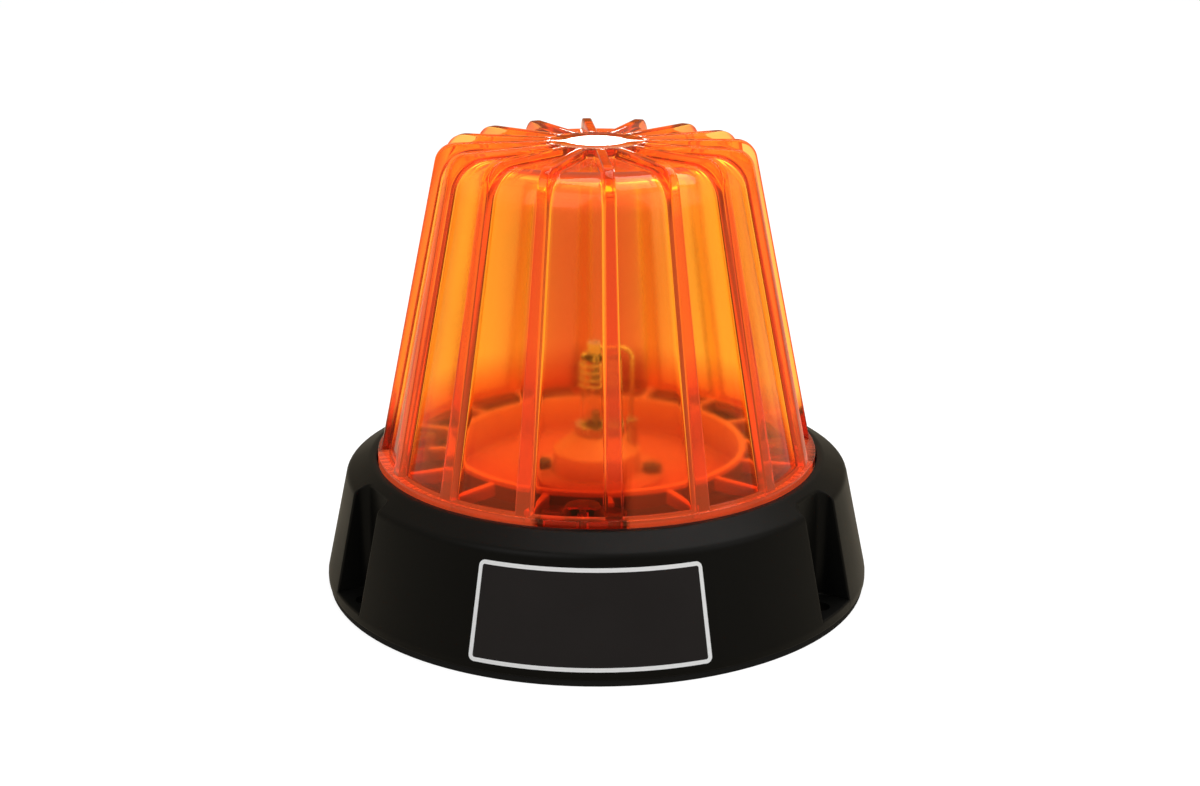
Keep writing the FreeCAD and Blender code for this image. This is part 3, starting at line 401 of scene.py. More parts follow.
def label_mesh():
    """The outline is shrunk towards its middle in rings, on the back and on the face, and wrapped round
    the wall. Distance across becomes angle, distance up becomes height, and the wall's lean gives the
    radius."""
    outline = rounded_outline(label_half, label_corner)
    shrink = np.linspace(label_innermost, 1.0, label_rings)
    rings = np.concatenate([shrink, shrink[::-1]])[:, None, None] * outline
    lift = np.repeat([0.0, label_lift], len(shrink))[:, None]
    z = rings[..., 1] + label_middle
    angle = label_turn + rings[..., 0] / label_r * (1 - label_taper * rings[..., 1] / label_half[1])
    mesh = make_mesh("label", round_points(wall_r(z) + lift, z, angle), capped_faces(*z.shape),
                     sharp=label_crisp_angle)
    chart = mesh.uv_layers.new(name="label_map")
    corner_of = np.zeros(len(mesh.loops), int)
    mesh.loops.foreach_get("vertex_index", corner_of)
    chart.data.foreach_set("uv", rings.reshape(-1, 2)[corner_of].ravel())
    return mesh


def add_math(tree, operation, *terms):
    """A node that does one sum on numbers or on other nodes' outputs."""
    step = tree.nodes.new("ShaderNodeMath")
    step.operation = operation
    for socket, term in zip(step.inputs, terms):
        if isinstance(term, (int, float)):
            socket.default_value = term
        else:
            tree.links.new(term, socket)
    return step.outputs["Value"]


def printed_line(tree, half, corner, width):
    """Mask of a line printed inside a rounded rectangle's edge. The depth from the edge is the corner's
    radius less the length of what of the point lies past the corners' middles."""
    chart = tree.nodes.new("ShaderNodeUVMap")
    chart.uv_map = "label_map"
    step = chart.outputs["UV"]
    for operation, value in (("ABSOLUTE", None), ("SUBTRACT", (half[0] - corner, half[1] - corner, 0.0)),
                             ("MAXIMUM", (0.0, 0.0, 0.0)), ("LENGTH", None)):
        node = tree.nodes.new("ShaderNodeVectorMath")
        node.operation = operation
        tree.links.new(step, node.inputs[0])
        if value is not None:
            node.inputs[1].default_value = value
        step = node.outputs["Value" if operation == "LENGTH" else "Vector"]
    return add_math(tree, "GREATER_THAN", step, float(corner - width))


def label_finish():
    """Dark film with a slow drift of tone, and the white line over it."""
    material, tree, shader = new_finish("label_film", {"Specular IOR Level": 0.15})
    grain = add_grain(tree, 2500.0, 60.0)
    field = blend_colours(tree, grain.outputs["Broad"], (0.0125, 0.0108, 0.0112), (0.0175, 0.015, 0.0155))
    line = printed_line(tree, label_half, label_corner, label_line)
    paint = blend_colours(tree, line, field, (0.9, 0.9, 0.89))
    tree.links.new(paint, shader.inputs["Base Color"])
    tree.links.new(spread_values(tree, grain.outputs["Fine"], 0.4, 0.5), shader.inputs["Roughness"])
    return material


make_piece("printed_label", label_mesh(), label_finish(), "base", "label_film", "rating_label")

# Bottom cover, its grommet and its screws: a matt black plate closes the base from below, held by four
# zinc plated screws, with a rubber grommet for the cable.


def dress(node, material):
    """Gives a piece that keeps its CAD form its material."""
    mesh = frame["nodes"][node].data
    mesh.materials.clear()
    mesh.materials.append(material)


black_cover = grained_finish(
    "black_cover", ((0.006, 0.006, 0.006), (0.012, 0.012, 0.012)), (0.55, 0.7), (1100.0, 30.0), 0.03,
    {"Specular IOR Level": 0.2})
dress("bottom_cover", black_cover)
grommet_rubber = grained_finish(
    "grommet_rubber", ((0.01, 0.01, 0.01), (0.022, 0.022, 0.022)), (0.6, 0.75), (900.0, 60.0), 0.03,
    {"Specular IOR Level": 0.2})
cable_back = 30.0
grommet_bore_r = 3.0
grommet_neck_r = 5.0
grommet_flange_r = 7.0
grommet_low = 0.3
grommet_high = 6.7
groove_low = 2.0
groove_high = 5.0
grommet_points, grommet_faces = turned(
    [(grommet_bore_r, grommet_low), (grommet_flange_r, grommet_low), (grommet_flange_r, groove_low),
     (grommet_neck_r, groove_low), (grommet_neck_r, groove_high), (grommet_flange_r, groove_high),
     (grommet_flange_r, grommet_high), (grommet_bore_r, grommet_high)],
    [0.5, 0.6, 0.3, 0.2, 0.2, 0.3, 0.6, 0.5], columns=64)
grommet_mesh = make_mesh("grommet", grommet_points + (0, cable_back, 0), grommet_faces)
make_piece("grommet", grommet_mesh, grommet_rubber, "base", "grommet_rubber", "cable_grommet")
screw_steel = grained_finish(
    "screw_steel", ((0.5, 0.5, 0.51), (0.62, 0.62, 0.62)), (0.25, 0.4), (3000.0, 250.0), 0.01,
    {"Metallic": 1.0})
for screws in ("cover_screws", "lens_screws", "board_screws", "heat_sink_screw"):
    dress(screws, screw_steel)

# Circuit board and its parts: a green glass-fibre disc on brass standoffs, with the capacitor, the
# transformers, the power transistor on its heat sink and the small parts soldered to it.
board_finishes = {
    "board_laminate": (((0.012, 0.08, 0.03), (0.02, 0.13, 0.05)), (0.35, 0.5), 0.0),
    "contact_brass": (((0.7, 0.48, 0.18), (0.8, 0.6, 0.28)), (0.25, 0.4), 1.0),
    "capacitor_sleeve": (((0.02, 0.035, 0.1), (0.03, 0.05, 0.14)), (0.3, 0.4), 0.0),
    "ferrite": (((0.05, 0.05, 0.053), (0.08, 0.08, 0.085)), (0.6, 0.75), 0.0),
    "copper_winding": (((0.5, 0.2, 0.08), (0.66, 0.3, 0.13)), (0.3, 0.45), 1.0),
    "potting_black": (((0.014, 0.014, 0.014), (0.024, 0.024, 0.024)), (0.3, 0.45), 0.0),
    "sink_aluminium": (((0.62, 0.63, 0.64), (0.74, 0.75, 0.76)), (0.35, 0.5), 1.0),
    "chip_epoxy": (((0.018, 0.018, 0.02), (0.03, 0.03, 0.032)), (0.5, 0.65), 0.0),
    "terminal_plastic": (((0.035, 0.24, 0.08), (0.055, 0.32, 0.11)), (0.35, 0.5), 0.0),
    "resistor_body": (((0.3, 0.44, 0.54), (0.38, 0.53, 0.63)), (0.35, 0.5), 0.0)}
board_materials = {
    name: grained_finish(name, colours, gloss, (1500.0, 120.0), 0.01, {"Metallic": metal})
    for name, (colours, gloss, metal) in board_finishes.items()}
for subpart in frame["record"]["subparts"]:
    if subpart["material_slot"] in board_materials:
        dress(subpart["node"], board_materials[subpart["material_slot"]])

# Spoked tray: an orange satin moulding. Its cup hangs through the deck, a spoke runs out under each rib of
# the lens, and a ring under the lens foot joins them. It gives way to the lens bosses.
lens_turn = np.radians(-4.75)
rib_count = 16
rib_angles = lens_turn + (np.arange(rib_count) + 0.5) * 2 * np.pi / rib_count
boss_count = 4
boss_step = 2 * np.pi / boss_count
boss_turn = np.radians(3.2)
boss_angles = lens_turn + boss_turn + np.arange(boss_count) * boss_step
tray_cup_r = 44.0
tray_inner_r = 42.0
tray_opening_r = 4.7
tray_under_z = 28.0
tray_floor_z = 30.0
tray_rim_z = 41.0
spoke_start_r = 43.0
spoke_end_r = 57.6
short_spoke_r = 49.3
spoke_width = 2.0
spoke_height = 4.0
spoke_edge = 0.45
short_spoke_within = np.radians(10.0)
tray_ring_r = (56.5, 60.2)
tray_ring_z = (36.0, 37.2)
tray_ring_edge = 0.3
tray_ring_steps = 24
notch_half = 12.0
notch_half_angle = np.arcsin(notch_half / np.mean(tray_ring_r))
# Where the painted shade in the cells and the painted highlight on the top edges lie
shade_start_r = tray_inner_r + 1.2
shade_top_z = 39.8
shade_fade = 0.8
highlight_start_r = tray_inner_r - 0.1
highlight_start_z = deck_z + spoke_height - 0.6
highlight_fade = 0.5


def carried(outline, origins, sides):
    """A bar: its outline, sideways and up, is carried along origins, with the side's direction at each."""
    places = origins[:, None, :] + sides[:, None, :] * outline[None, :, :1]
    heights = np.broadcast_to(outline[None, :, 1:], (*places.shape[:2], 1))
    points = np.concatenate([places, heights], axis=2)
    return points.reshape(-1, 3), capped_faces(*points.shape[:2])


def mesh_points(mesh):
    """The mesh's points in millimetres, one to a row."""
    places = np.zeros(len(mesh.vertices) * 3)
    mesh.vertices.foreach_get("co", places)
    return places.reshape(-1, 3) * 1000


def add_values(mesh, name, values):
    """Keeps a value at each point of a mesh, for its material to read."""
    mesh.attributes.new(name, "FLOAT", "POINT").data.foreach_set("value", values)


def read_values(tree, name):
    """The values that a mesh keeps under a name."""
    values = tree.nodes.new("ShaderNodeAttribute")
    values.attribute_name = name
    return values.outputs["Fac"]


def tray_solids():
    """The cup is turned, a spoke's rounded bar runs straight out, and the ring's bar follows its arc
    between two bosses. A spoke that points at a boss stops short of it."""
    cup = turned([(tray_opening_r, tray_under_z), (tray_cup_r, tray_under_z), (tray_cup_r, shade_top_z),
                  (tray_cup_r, tray_rim_z), (tray_inner_r, tray_rim_z), (tray_inner_r, tray_floor_z),
                  (tray_opening_r, tray_floor_z)],
                 [0.2, 1.0, shade_fade / 2, 0.5, 0.5, 1.2, 0.2])
    solids = [cup]
    bar = rounded_outline((spoke_width / 2, spoke_height / 2), spoke_edge, sides=2, turns=5)
    bar = bar + (0, deck_z + spoke_height / 2)
    for angle in rib_angles:
        nearest = np.abs((angle - boss_angles + np.pi) % (2 * np.pi) - np.pi).min()
        reach = np.array([spoke_start_r, short_spoke_r if nearest < short_spoke_within else spoke_end_r])
        outward = np.array([np.sin(angle), -np.cos(angle)])
        sideways = np.array([np.cos(angle), np.sin(angle)])
        solids.append(carried(bar, reach[:, None] * outward, np.tile(sideways, (2, 1))))
    middle = (sum(tray_ring_r) / 2, sum(tray_ring_z) / 2)
    ring_half = (np.ptp(tray_ring_r) / 2, np.ptp(tray_ring_z) / 2)
    band = rounded_outline(ring_half, tray_ring_edge, sides=2, turns=5) + (0, middle[1])
    for start in boss_angles:
        angle = start + np.linspace(notch_half_angle, boss_step - notch_half_angle, tray_ring_steps)
        outward = np.stack([np.sin(angle), -np.cos(angle)], axis=1)
        solids.append(carried(band, middle[0] * outward, -outward))
    return solids


def painted_cell_shade(points):
    """Painted shade down between the spokes: 1 outside the cup, fading to 0 at the spokes' top edges."""
    outside = np.hypot(points[:, 0], points[:, 1]) > shade_start_r
    return np.where(outside, np.clip((shade_top_z - points[:, 2]) / shade_fade + 0.5, 0, 1), 0)


def painted_edge_highlight(points):
    """Painted highlight: 1 along the cup's rim and the spokes' top edges, and 0 elsewhere."""
    outside = np.hypot(points[:, 0], points[:, 1]) > highlight_start_r
    return np.where(outside, np.clip((points[:, 2] - highlight_start_z) / highlight_fade, 0, 1), 0)


def tray_finish():
    """Orange plastic, with painted shade of deep red down in the cells between the spokes and a paler
    painted highlight along its top edges.
    """
    material, tree, shader = new_finish("tray_plastic", {"Specular IOR Level": 0.4})
    grain = add_grain(tree, 1200.0, 35.0)
    orange = blend_colours(tree, grain.outputs["Broad"], (0.56, 0.095, 0.045), (0.64, 0.115, 0.06))
    # Painted shade in the cells, then a painted highlight on the rim and the spokes' top edges
    shaded = blend_colours(tree, read_values(tree, "painted_cell_shade"), orange, (0.08, 0.003, 0.002))
    highlighted = blend_colours(tree, read_values(tree, "painted_edge_highlight"), shaded, (0.82, 0.24, 0.1))
    tree.links.new(highlighted, shader.inputs["Base Color"])
    tree.links.new(spread_values(tree, grain.outputs["Broad"], 0.3, 0.42), shader.inputs["Roughness"])
    tree.links.new(add_relief(tree, grain.outputs["Fine"], 0.015), shader.inputs["Normal"])
    return material


tray_mesh = joined_mesh("spoked_tray", tray_solids())
# The tray keeps its painted shade and painted highlight at each point
add_values(tray_mesh, "painted_cell_shade", painted_cell_shade(mesh_points(tray_mesh)))
add_values(tray_mesh, "painted_edge_highlight", painted_edge_highlight(mesh_points(tray_mesh)))
make_piece("spoked_tray", tray_mesh, tray_finish(), "base", "tray_plastic", "reflector_tray")

# Tube socket: a collar of fired clay colour on the tray's floor, held by two blackened screws, with brass
# contacts below it, sleeved leads and a plated terminal for the tube's return lead.
socket_ceramic = grained_finish(
    "socket_ceramic", ((0.58, 0.13, 0.06), (0.66, 0.165, 0.08)), (0.25, 0.4), (900.0, 70.0), 0.01,
    {"Specular IOR Level": 0.5})
socket_bore_r = 0.6
socket_foot_r = 20.0
socket_foot_z = 32.0
socket_body_r = 13.0
socket_body_z = 38.7
socket_mouth_r = 6.8
socket_top_z = 43.4
socket_well_r = 5.5
socket_well_z = 33.0
socket_solid = turned(
    [(socket_bore_r, tray_floor_z), (socket_foot_r, tray_floor_z), (socket_foot_r, socket_foot_z),
     (socket_body_r, socket_foot_z), (socket_body_r, socket_body_z), (socket_mouth_r, socket_top_z),
     (socket_well_r, socket_top_z), (socket_well_r, socket_well_z), (socket_bore_r, socket_well_z)],
    [0.1, 0.2, 0.6, 0.8, 0.6, 0.35, 0.3, 0.3, 0.1], columns=96)
socket_mesh = make_mesh("socket_collar", *socket_solid)
make_piece("socket_collar", socket_mesh, socket_ceramic, "base", "socket_ceramic", "tube_socket")
black_screw = grained_finish(
    "black_screw", ((0.04, 0.04, 0.042), (0.07, 0.07, 0.073)), (0.35, 0.5), (3000.0, 250.0), 0.01,
    {"Metallic": 1.0})
dress("socket_screws", black_screw)
lead_sleeving = grained_finish(
    "lead_sleeving", ((0.42, 0.03, 0.025), (0.55, 0.06, 0.05)), (0.5, 0.65), (1500.0, 90.0), 0.01, {})
dress("socket_leads", lead_sleeving)
nickel_plate = grained_finish(
    "nickel_plate", ((0.66, 0.63, 0.58), (0.76, 0.74, 0.7)), (0.15, 0.28), (2500.0, 150.0), 0.005,
    {"Metallic": 1.0})
dress("lead_terminal", nickel_plate)

# Flash tube: a clear quartz envelope between a plated plug cap and a top cap, with tungsten electrodes, a
# stiff return lead and a fine trigger wire wound round the glass.
for plated in ("tube_cap", "tube_top_cap", "return_lead", "trigger_wire"):
    dress(plated, nickel_plate)
tungsten = grained_finish(
    "tungsten", ((0.32, 0.31, 0.3), (0.42, 0.41, 0.4)), (0.35, 0.5), (2500.0, 200.0), 0.005,
    {"Metallic": 1.0})
for electrode in ("lower_electrode", "upper_electrode"):
    dress(electrode, tungsten)
quartz_glass, quartz_tree, quartz_shader = new_finish(
    "quartz_glass", {"Roughness": 0.02, "IOR": 1.46, "Transmission Weight": 1.0})
quartz_grain = add_grain(quartz_tree, 500.0, 90.0)
quartz_tint = blend_colours(quartz_tree, quartz_grain.outputs["Broad"],
                            (0.95, 0.96, 0.97), (0.99, 0.99, 1.0))
quartz_tree.links.new(quartz_tint, quartz_shader.inputs["Base Color"])
dress("tube_glass", quartz_glass)

# Lens seal: a flat ring of orange silicone, moulded to size. The lens screws press it between the foot of
# the lens and the deck, where it keeps water out.
seal_inner_r = 60.6
seal_outer_r = 64.2
seal_top_z = 37.2
seal_edge = 0.3
seal_silicone = grained_finish(
    "seal_silicone", ((0.78, 0.25, 0.11), (0.88, 0.33, 0.17)), (0.6, 0.75), (900.0, 60.0), 0.03, {})
seal_solid = turned([(seal_inner_r, deck_z), (seal_outer_r, deck_z), (seal_outer_r, seal_top_z),
                     (seal_inner_r, seal_top_z)], [seal_edge] * 4)
seal_mesh = make_mesh("seal_ring", *seal_solid)
make_piece("seal_ring", seal_mesh, seal_silicone, "base", "seal_silicone", "lens_seal")

# Lens: a clear amber polycarbonate moulding. Sixteen ribs run up its leaning wall and in over the roof to a
# raised disc; four bosses on pads inside the foot take the screws that hold it down.
rib_rise = 2.6
rib_foot_half = 2.3
rib_top_half = 1.5
rib_root = 0.55
rib_shoulder = 6.0
crest_fall = 0.35
lens_foot_z = seal_top_z
lens_top_z = 130.0
lens_roof_z = lens_top_z - rib_rise
lens_draw_in = 18.9
lens_lean = lens_draw_in / (lens_roof_z - lens_foot_z)
lean_angle = np.arctan(lens_lean)
lens_wall_r = 61.3
lens_wall = 2.6
lens_shoulder = 10.0
inner_shoulder = lens_shoulder - lens_wall
lens_crisp_angle = 50.0
panel_columns = 13
shoulder_steps = 12
inner_shoulder_steps = 8
inner_wall_steps = 10
flange_r = 64.2
ledge_z = 40.2
ledge_round = 0.3
ceiling_z = 124.6
dimple_r = 11.4
dimple_z = 127.2
disc_r = 14.0
disc_edge = 0.6
dish_depth = 0.15
roof_end_r = disc_r + 1
boss_r = 4.8
boss_circle = 54.3
boss_sides = 40
boss_low = 36.3
boss_high = 41.3
block_edge = 0.4
pad_high = 39.3
pad_half = 11.5
pad_corner = 3.0
screw_hole_r = 1.6
screw_hole_z = 40.4


def shoulder_middle_r(foot_r, top_z, fillet):
    """Radius of the middle of a shoulder's arc. The wall's line meets the roof's at a corner, and the arc
    leaves both lines at the fillet times the tangent of half its turn from there."""
    corner_r = foot_r - lens_lean * (top_z - lens_foot_z)
    return corner_r - fillet * np.tan((np.pi / 2 - lean_angle) / 2)


def leaning_profile(foot_r, foot_z, top_z, fillet, end, straight, steps, roof_steps):
    """Radius and height along a leaning wall, a rounded shoulder and a roof in to an end point. The wall
    and the roof are cut at shares of their length, and the shoulder's arc at even turns."""
    middle = np.array([shoulder_middle_r(foot_r, top_z, fillet), top_z - fillet])
    turn = np.linspace(lean_angle, np.pi / 2, steps)
    arc = middle + fillet * np.stack([np.cos(turn), np.sin(turn)], axis=1)
    foot = np.array([foot_r - lens_lean * (foot_z - lens_foot_z), foot_z])
    wall = foot + (arc[0] - foot) * straight[:, None]
    roof = arc[-1] + (np.array(end) - arc[-1]) * roof_steps[:, None]
    return np.concatenate([wall, arc[1:], roof[1:]])


def lens_columns():
    """Columns of one rib and the panel after it: offset in rib halves, offset in millimetres, rib height
    from 0 to 1, and place across the panel from 0 to 1, or -1 on the rib."""
    offset = np.array([-rib_root, -0.28, -0.12, -0.06, 0.05, 0.15, 0.38, 0.6])
    height = np.array([0.0, 0.02, 0.1, 0.22, 0.8, 0.92, 0.99, 1.0])
    flank = np.stack([-np.ones_like(offset), offset, height, -np.ones_like(offset)])
    crest = np.array([[0.0], [0.0], [1.0], [-1.0]])
    other = flank[:, ::-1] * np.array([[-1], [-1], [1], [1]])
    place = np.linspace(0, 1, panel_columns + 2)[1:-1]
    panel = np.stack([np.ones_like(place), np.full_like(place, rib_root), np.zeros_like(place), place])
    return np.concatenate([flank, crest, other, panel], axis=1)


def lens_inside():
    """Radius and height from the middle of the ceiling's dimple out, and down the inside to the foot."""
    dimple = np.array([[3.0, dimple_z], [8.0, dimple_z], [dimple_r - 0.3, dimple_z],
                       [dimple_r - 0.05, dimple_z - 0.1], [dimple_r, dimple_z - 0.3],
                       [dimple_r, ceiling_z + 0.2], [dimple_r + 0.1, ceiling_z + 0.05]])
    inward = np.array([0.0, 0.15, 0.3, 0.7, 1.0])
    wall = leaning_profile(lens_wall_r - lens_wall, lens_foot_z, ceiling_z, inner_shoulder,
                           (dimple_r + 0.4, ceiling_z), np.linspace(0, 1, inner_wall_steps),
                           inner_shoulder_steps, inward)
    return np.concatenate([dimple, wall[::-1]])


def lens_outside(height):
    """Rows of radius and height from the foot's edge up the outside and in to the disc's middle. A point
    lies between the wall's profile and the crest's, by the rib's height from 0 to 1 in its column."""
    one = np.ones_like(height)
    straight = np.array([0.0, 0.02, 0.08, 0.18, 0.3, 0.42, 0.54, 0.66, 0.78, 0.9, 0.98, 1.0])
    inward = np.array([0.0, 0.03, 0.2, 0.4, 0.6, 0.8, 1.0])
    root_z = ledge_z + ledge_round
    wall = leaning_profile(lens_wall_r, root_z, lens_roof_z, lens_shoulder, (roof_end_r, lens_roof_z),
                           straight, shoulder_steps, inward)
    crest = leaning_profile(lens_wall_r + rib_rise, root_z, lens_top_z - crest_fall, rib_shoulder,
                            (roof_end_r, lens_top_z), straight, shoulder_steps, inward)
    # The disc's own wall and rounded edge, from its top edge; over a rib the crest runs on level.
    disc_wall = np.array([[0.5, -2.58], [0.2, -2.48], [0.05, -2.15], [0, -0.6], [-0.07, -0.25],
                          [-0.25, -0.05], [-disc_edge, 0]]) + (disc_r, lens_top_z)
    disc_crest = np.array([[0.7, 0], [0.5, 0], [0.3, 0], [0.1, 0], [-0.05, 0],
                           [-0.25, 0], [-disc_edge, 0]]) + (disc_r, lens_top_z)
    wall = np.concatenate([wall, disc_wall])[:, :, None]
    crest = np.concatenate([crest, disc_crest])[:, :, None]
    ribbed = wall + height * (crest - wall)
    root = ribbed[0, 0]
    rim = np.array([[flange_r - 0.3, lens_foot_z], [flange_r - 0.1, lens_foot_z + 0.06],
                    [flange_r, lens_foot_z + 0.25], [flange_r, ledge_z - 0.25],
                    [flange_r - 0.07, ledge_z - 0.07], [flange_r - 0.22, ledge_z]])
    ledge = np.array([[root + ledge_round, ledge_z * one], [root + 0.08, (ledge_z + 0.06) * one]])
    dish = np.array([[13.2, -0.02], [13.0, -0.08], [12.7, -0.13],
                     [8.0, -dish_depth], [3.0, -dish_depth]]) + (0, lens_top_z)
    return np.concatenate([rim[:, :, None] * one, ledge, ribbed, dish[:, :, None] * one])


def lens_sheet():
    """One sheet from the middle of the ceiling out, down the inside, under the foot, up the outside and in
    to the middle of the disc. A rib's column turns by the angle whose sine is its offset over the radius,
    and a panel's column lies a share of the way between two rib roots."""
    halves, offset, height, place = np.tile(lens_columns(), rib_count)
    columns = len(halves)
    rib_angle = np.repeat(rib_angles, columns // rib_count)
    outer = lens_outside(height)
    half = np.interp(outer[:, 1], [lens_foot_z, lens_roof_z], [rib_foot_half, rib_top_half])
    swing = np.arcsin((halves * half + offset) / np.maximum(outer[:, 0], disc_r - disc_edge))
    across_panel = swing + place * (2 * np.pi / rib_count - 2 * swing)
    outer_angle = rib_angle + np.where(place < 0, swing, across_panel)
    inner = lens_inside()[:, :, None] * np.ones(columns)
    sheet = np.concatenate([inner, outer])
    angle = np.concatenate([np.broadcast_to(outer_angle[0], (len(inner), columns)), outer_angle])
    poles = [[0, 0, dimple_z], [0, 0, lens_top_z - dish_depth]]
    points = np.concatenate([round_points(sheet[:, 0], sheet[:, 1], angle), poles])
    around = np.arange(columns)
    after = (around + 1) % columns
    last = (len(sheet) - 1) * columns
    under = np.stack([np.full(columns, len(points) - 2), after, around], axis=1)
    over = np.stack([last + around, last + after, np.full(columns, len(points) - 1)], axis=1)
    return points, grid_faces(len(sheet), columns).tolist() + under.tolist() + over.tolist()


def raised_block(outline, middle, low, high, edge):
    """An upright block over an outline, its top edge rounded by rings that draw in towards a middle."""
    reach = np.abs(outline - middle).max()
    soft = 0.3 * edge
    rings = [np.column_stack([middle + (outline - middle) * (1 - inset / reach), np.full(len(outline), z)])
             for z, inset in ((low, 0.0), (high - edge, 0.0), (high - soft, soft), (high, edge))]
    return np.concatenate(rings), capped_faces(len(rings), len(outline))


def turned_points(points, angle):
    """Points turned about the upright axis."""
    across = np.array([[np.cos(angle), np.sin(angle)], [-np.sin(angle), np.cos(angle)]])
    return np.column_stack([points[:, :2] @ across, points[:, 2]])


# Depth of colour of the lens's resin, with painted shade on it, and painted glow given off as emission
rib_low_z = ledge_z + 0.2
roof_fade = 10.0
depth_on_roof = 0.2
glow_on_roof = 0.6
rib_glow = 0.62
glow_share = 0.3
flank_glow = 0.4
rim_glow = 0.72
rim_top_z = ledge_z + 0.1
rim_inner_r = lens_wall_r - 0.5
wall_glow = 0.24
glow_fade_z = 78.0
roof_glow = 0.4
roof_glow_fade = 8.0
ceiling_edge_r = shoulder_middle_r(lens_wall_r - lens_wall, ceiling_z, inner_shoulder)
corner_fade = 5.0
corner_slack = 0.5
boss_glow = 0.08
boss_slack = 0.1
pad_margin = 0.6
bare_wall_r = lens_wall_r - 1.6
bare_wall_half = 1.5
boss_shade_z = 51.0
boss_fade = 4.0
boss_side_fade = 1.5
foot_shade_z = 44.0
foot_fade = 8.0
inner_depth = 0.08
polish_low_z = 122.0
polish_high_z = 126.0
polish_share = 0.15


def rib_share(points):
    """How high a point stands on a rib, from 0 at its root to 1 at its crest: its distance from the wall's
    line and the roof's, rounded where they meet, over the rib's rise."""
    r = np.hypot(points[:, 0], points[:, 1])
    z = points[:, 2]
    wall_line_r = lens_wall_r - lens_lean * (z - lens_foot_z)
    off_wall = (r - wall_line_r) * np.cos(lean_angle) + lens_shoulder
    off_roof = z - lens_roof_z + lens_shoulder
    outside = np.hypot(np.maximum(off_wall, 0), np.maximum(off_roof, 0)) - lens_shoulder
    return np.where((z > rib_low_z) & (r > roof_end_r), np.clip(outside / rib_rise, 0, 1), 0)


def over_roof(points, least):
    """1 up the wall, fading to the least share on the roof."""
    return np.clip((lens_roof_z - points[:, 2]) / roof_fade, least, 1)


def off_boss(points):
    """How far to the side of the nearest boss's middle a point lies."""
    angle = np.arctan2(points[:, 0], -points[:, 1])
    off_angle = np.abs((angle[:, None] - boss_angles + np.pi) % (2 * np.pi) - np.pi).min(axis=1)
    return np.hypot(points[:, 0], points[:, 1]) * np.sin(off_angle)


def near_boss(points):
    """True on the bosses and their pads, and on the stretch of the flange's rim in front of each pad, which
    is given painted shade.
    """
    r = np.hypot(points[:, 0], points[:, 1])
    off_wall = np.abs(r - bare_wall_r) > bare_wall_half
    return (points[:, 2] < boss_high + boss_slack) & (off_boss(points) < pad_half + pad_margin) & off_wall


def painted_boss_shade(points):
    """Painted shade: 1 on the wall in front of a boss, fading to 0 at the sides of its pad and above it."""
    sideways = np.clip((pad_half - off_boss(points)) / boss_side_fade + 1, 0, 1)
    return sideways * np.clip((boss_shade_z - points[:, 2]) / boss_fade, 0, 1)


def painted_foot_shade(points):
    """Painted shade on the lower wall: 1 at the foot, fading to 0 a little above."""
    return 1 - np.clip((points[:, 2] - foot_shade_z) / foot_fade, 0, 1)


def resin_depth_and_shade(points):
    """How much resin lies under a point of the lens, with painted shade added: 1 on a boss, the cube of the
    share of its height on a rib, less over the roof, and 0 on a panel. The wall in front of a boss, and the
    flange's rim there, take painted shade up to 1."""
    on_rib = rib_share(points) ** 3 * over_roof(points, depth_on_roof)
    return np.where(near_boss(points), 1.0, np.maximum(on_rib, painted_boss_shade(points)))


def painted_glow(points):
    """Painted glow, given off as emission at the lens's thick places and edges: most at the flange's rim,
    less on the ribs, a little on the roof and on the wall near the foot, and hardly any by the bosses or on
    the wall in front of them. The wall's share is eased out with height, and a rib's flank gives most
    halfway up."""
    r = np.hypot(points[:, 0], points[:, 1])
    z = points[:, 2]
    near = np.clip((glow_fade_z - z) / (glow_fade_z - ledge_z), 0, 1)
    by_foot = wall_glow * near ** 2 * (3 - 2 * near)
    by_roof = roof_glow * np.clip((z - ceiling_z) / roof_glow_fade + 1, 0, 1)
    share = rib_share(points)
    on_rib = rib_glow * np.clip(share / glow_share, 0, 1) + flank_glow * 4 * share * (1 - share)
    brighter = np.maximum(by_foot + by_roof, on_rib * over_roof(points, glow_on_roof))
    on_rim = (z < rim_top_z) & (r > rim_inner_r)
    glow = np.where(on_rim, rim_glow, brighter * (1 - painted_boss_shade(points)))
    return np.where(near_boss(points), boss_glow, glow)


def painted_corner_glow(points):
    """Painted glow in the corner inside the lens: 1 at the ceiling's edge, fading in over the ceiling and
    down the corner's arc. A point further from the arc's middle than its radius is outside, and gets 0."""
    r = np.hypot(points[:, 0], points[:, 1])
    down = ceiling_z - points[:, 2]
    off_middle = np.hypot(np.maximum(r - ceiling_edge_r, 0), inner_shoulder - down)
    inward = np.clip(1 - (ceiling_edge_r - r) / corner_fade, 0, 1)
    downward = np.clip(1 - down / corner_fade, 0, 1)
    return np.where(off_middle < inner_shoulder + corner_slack, inward * downward, 0)


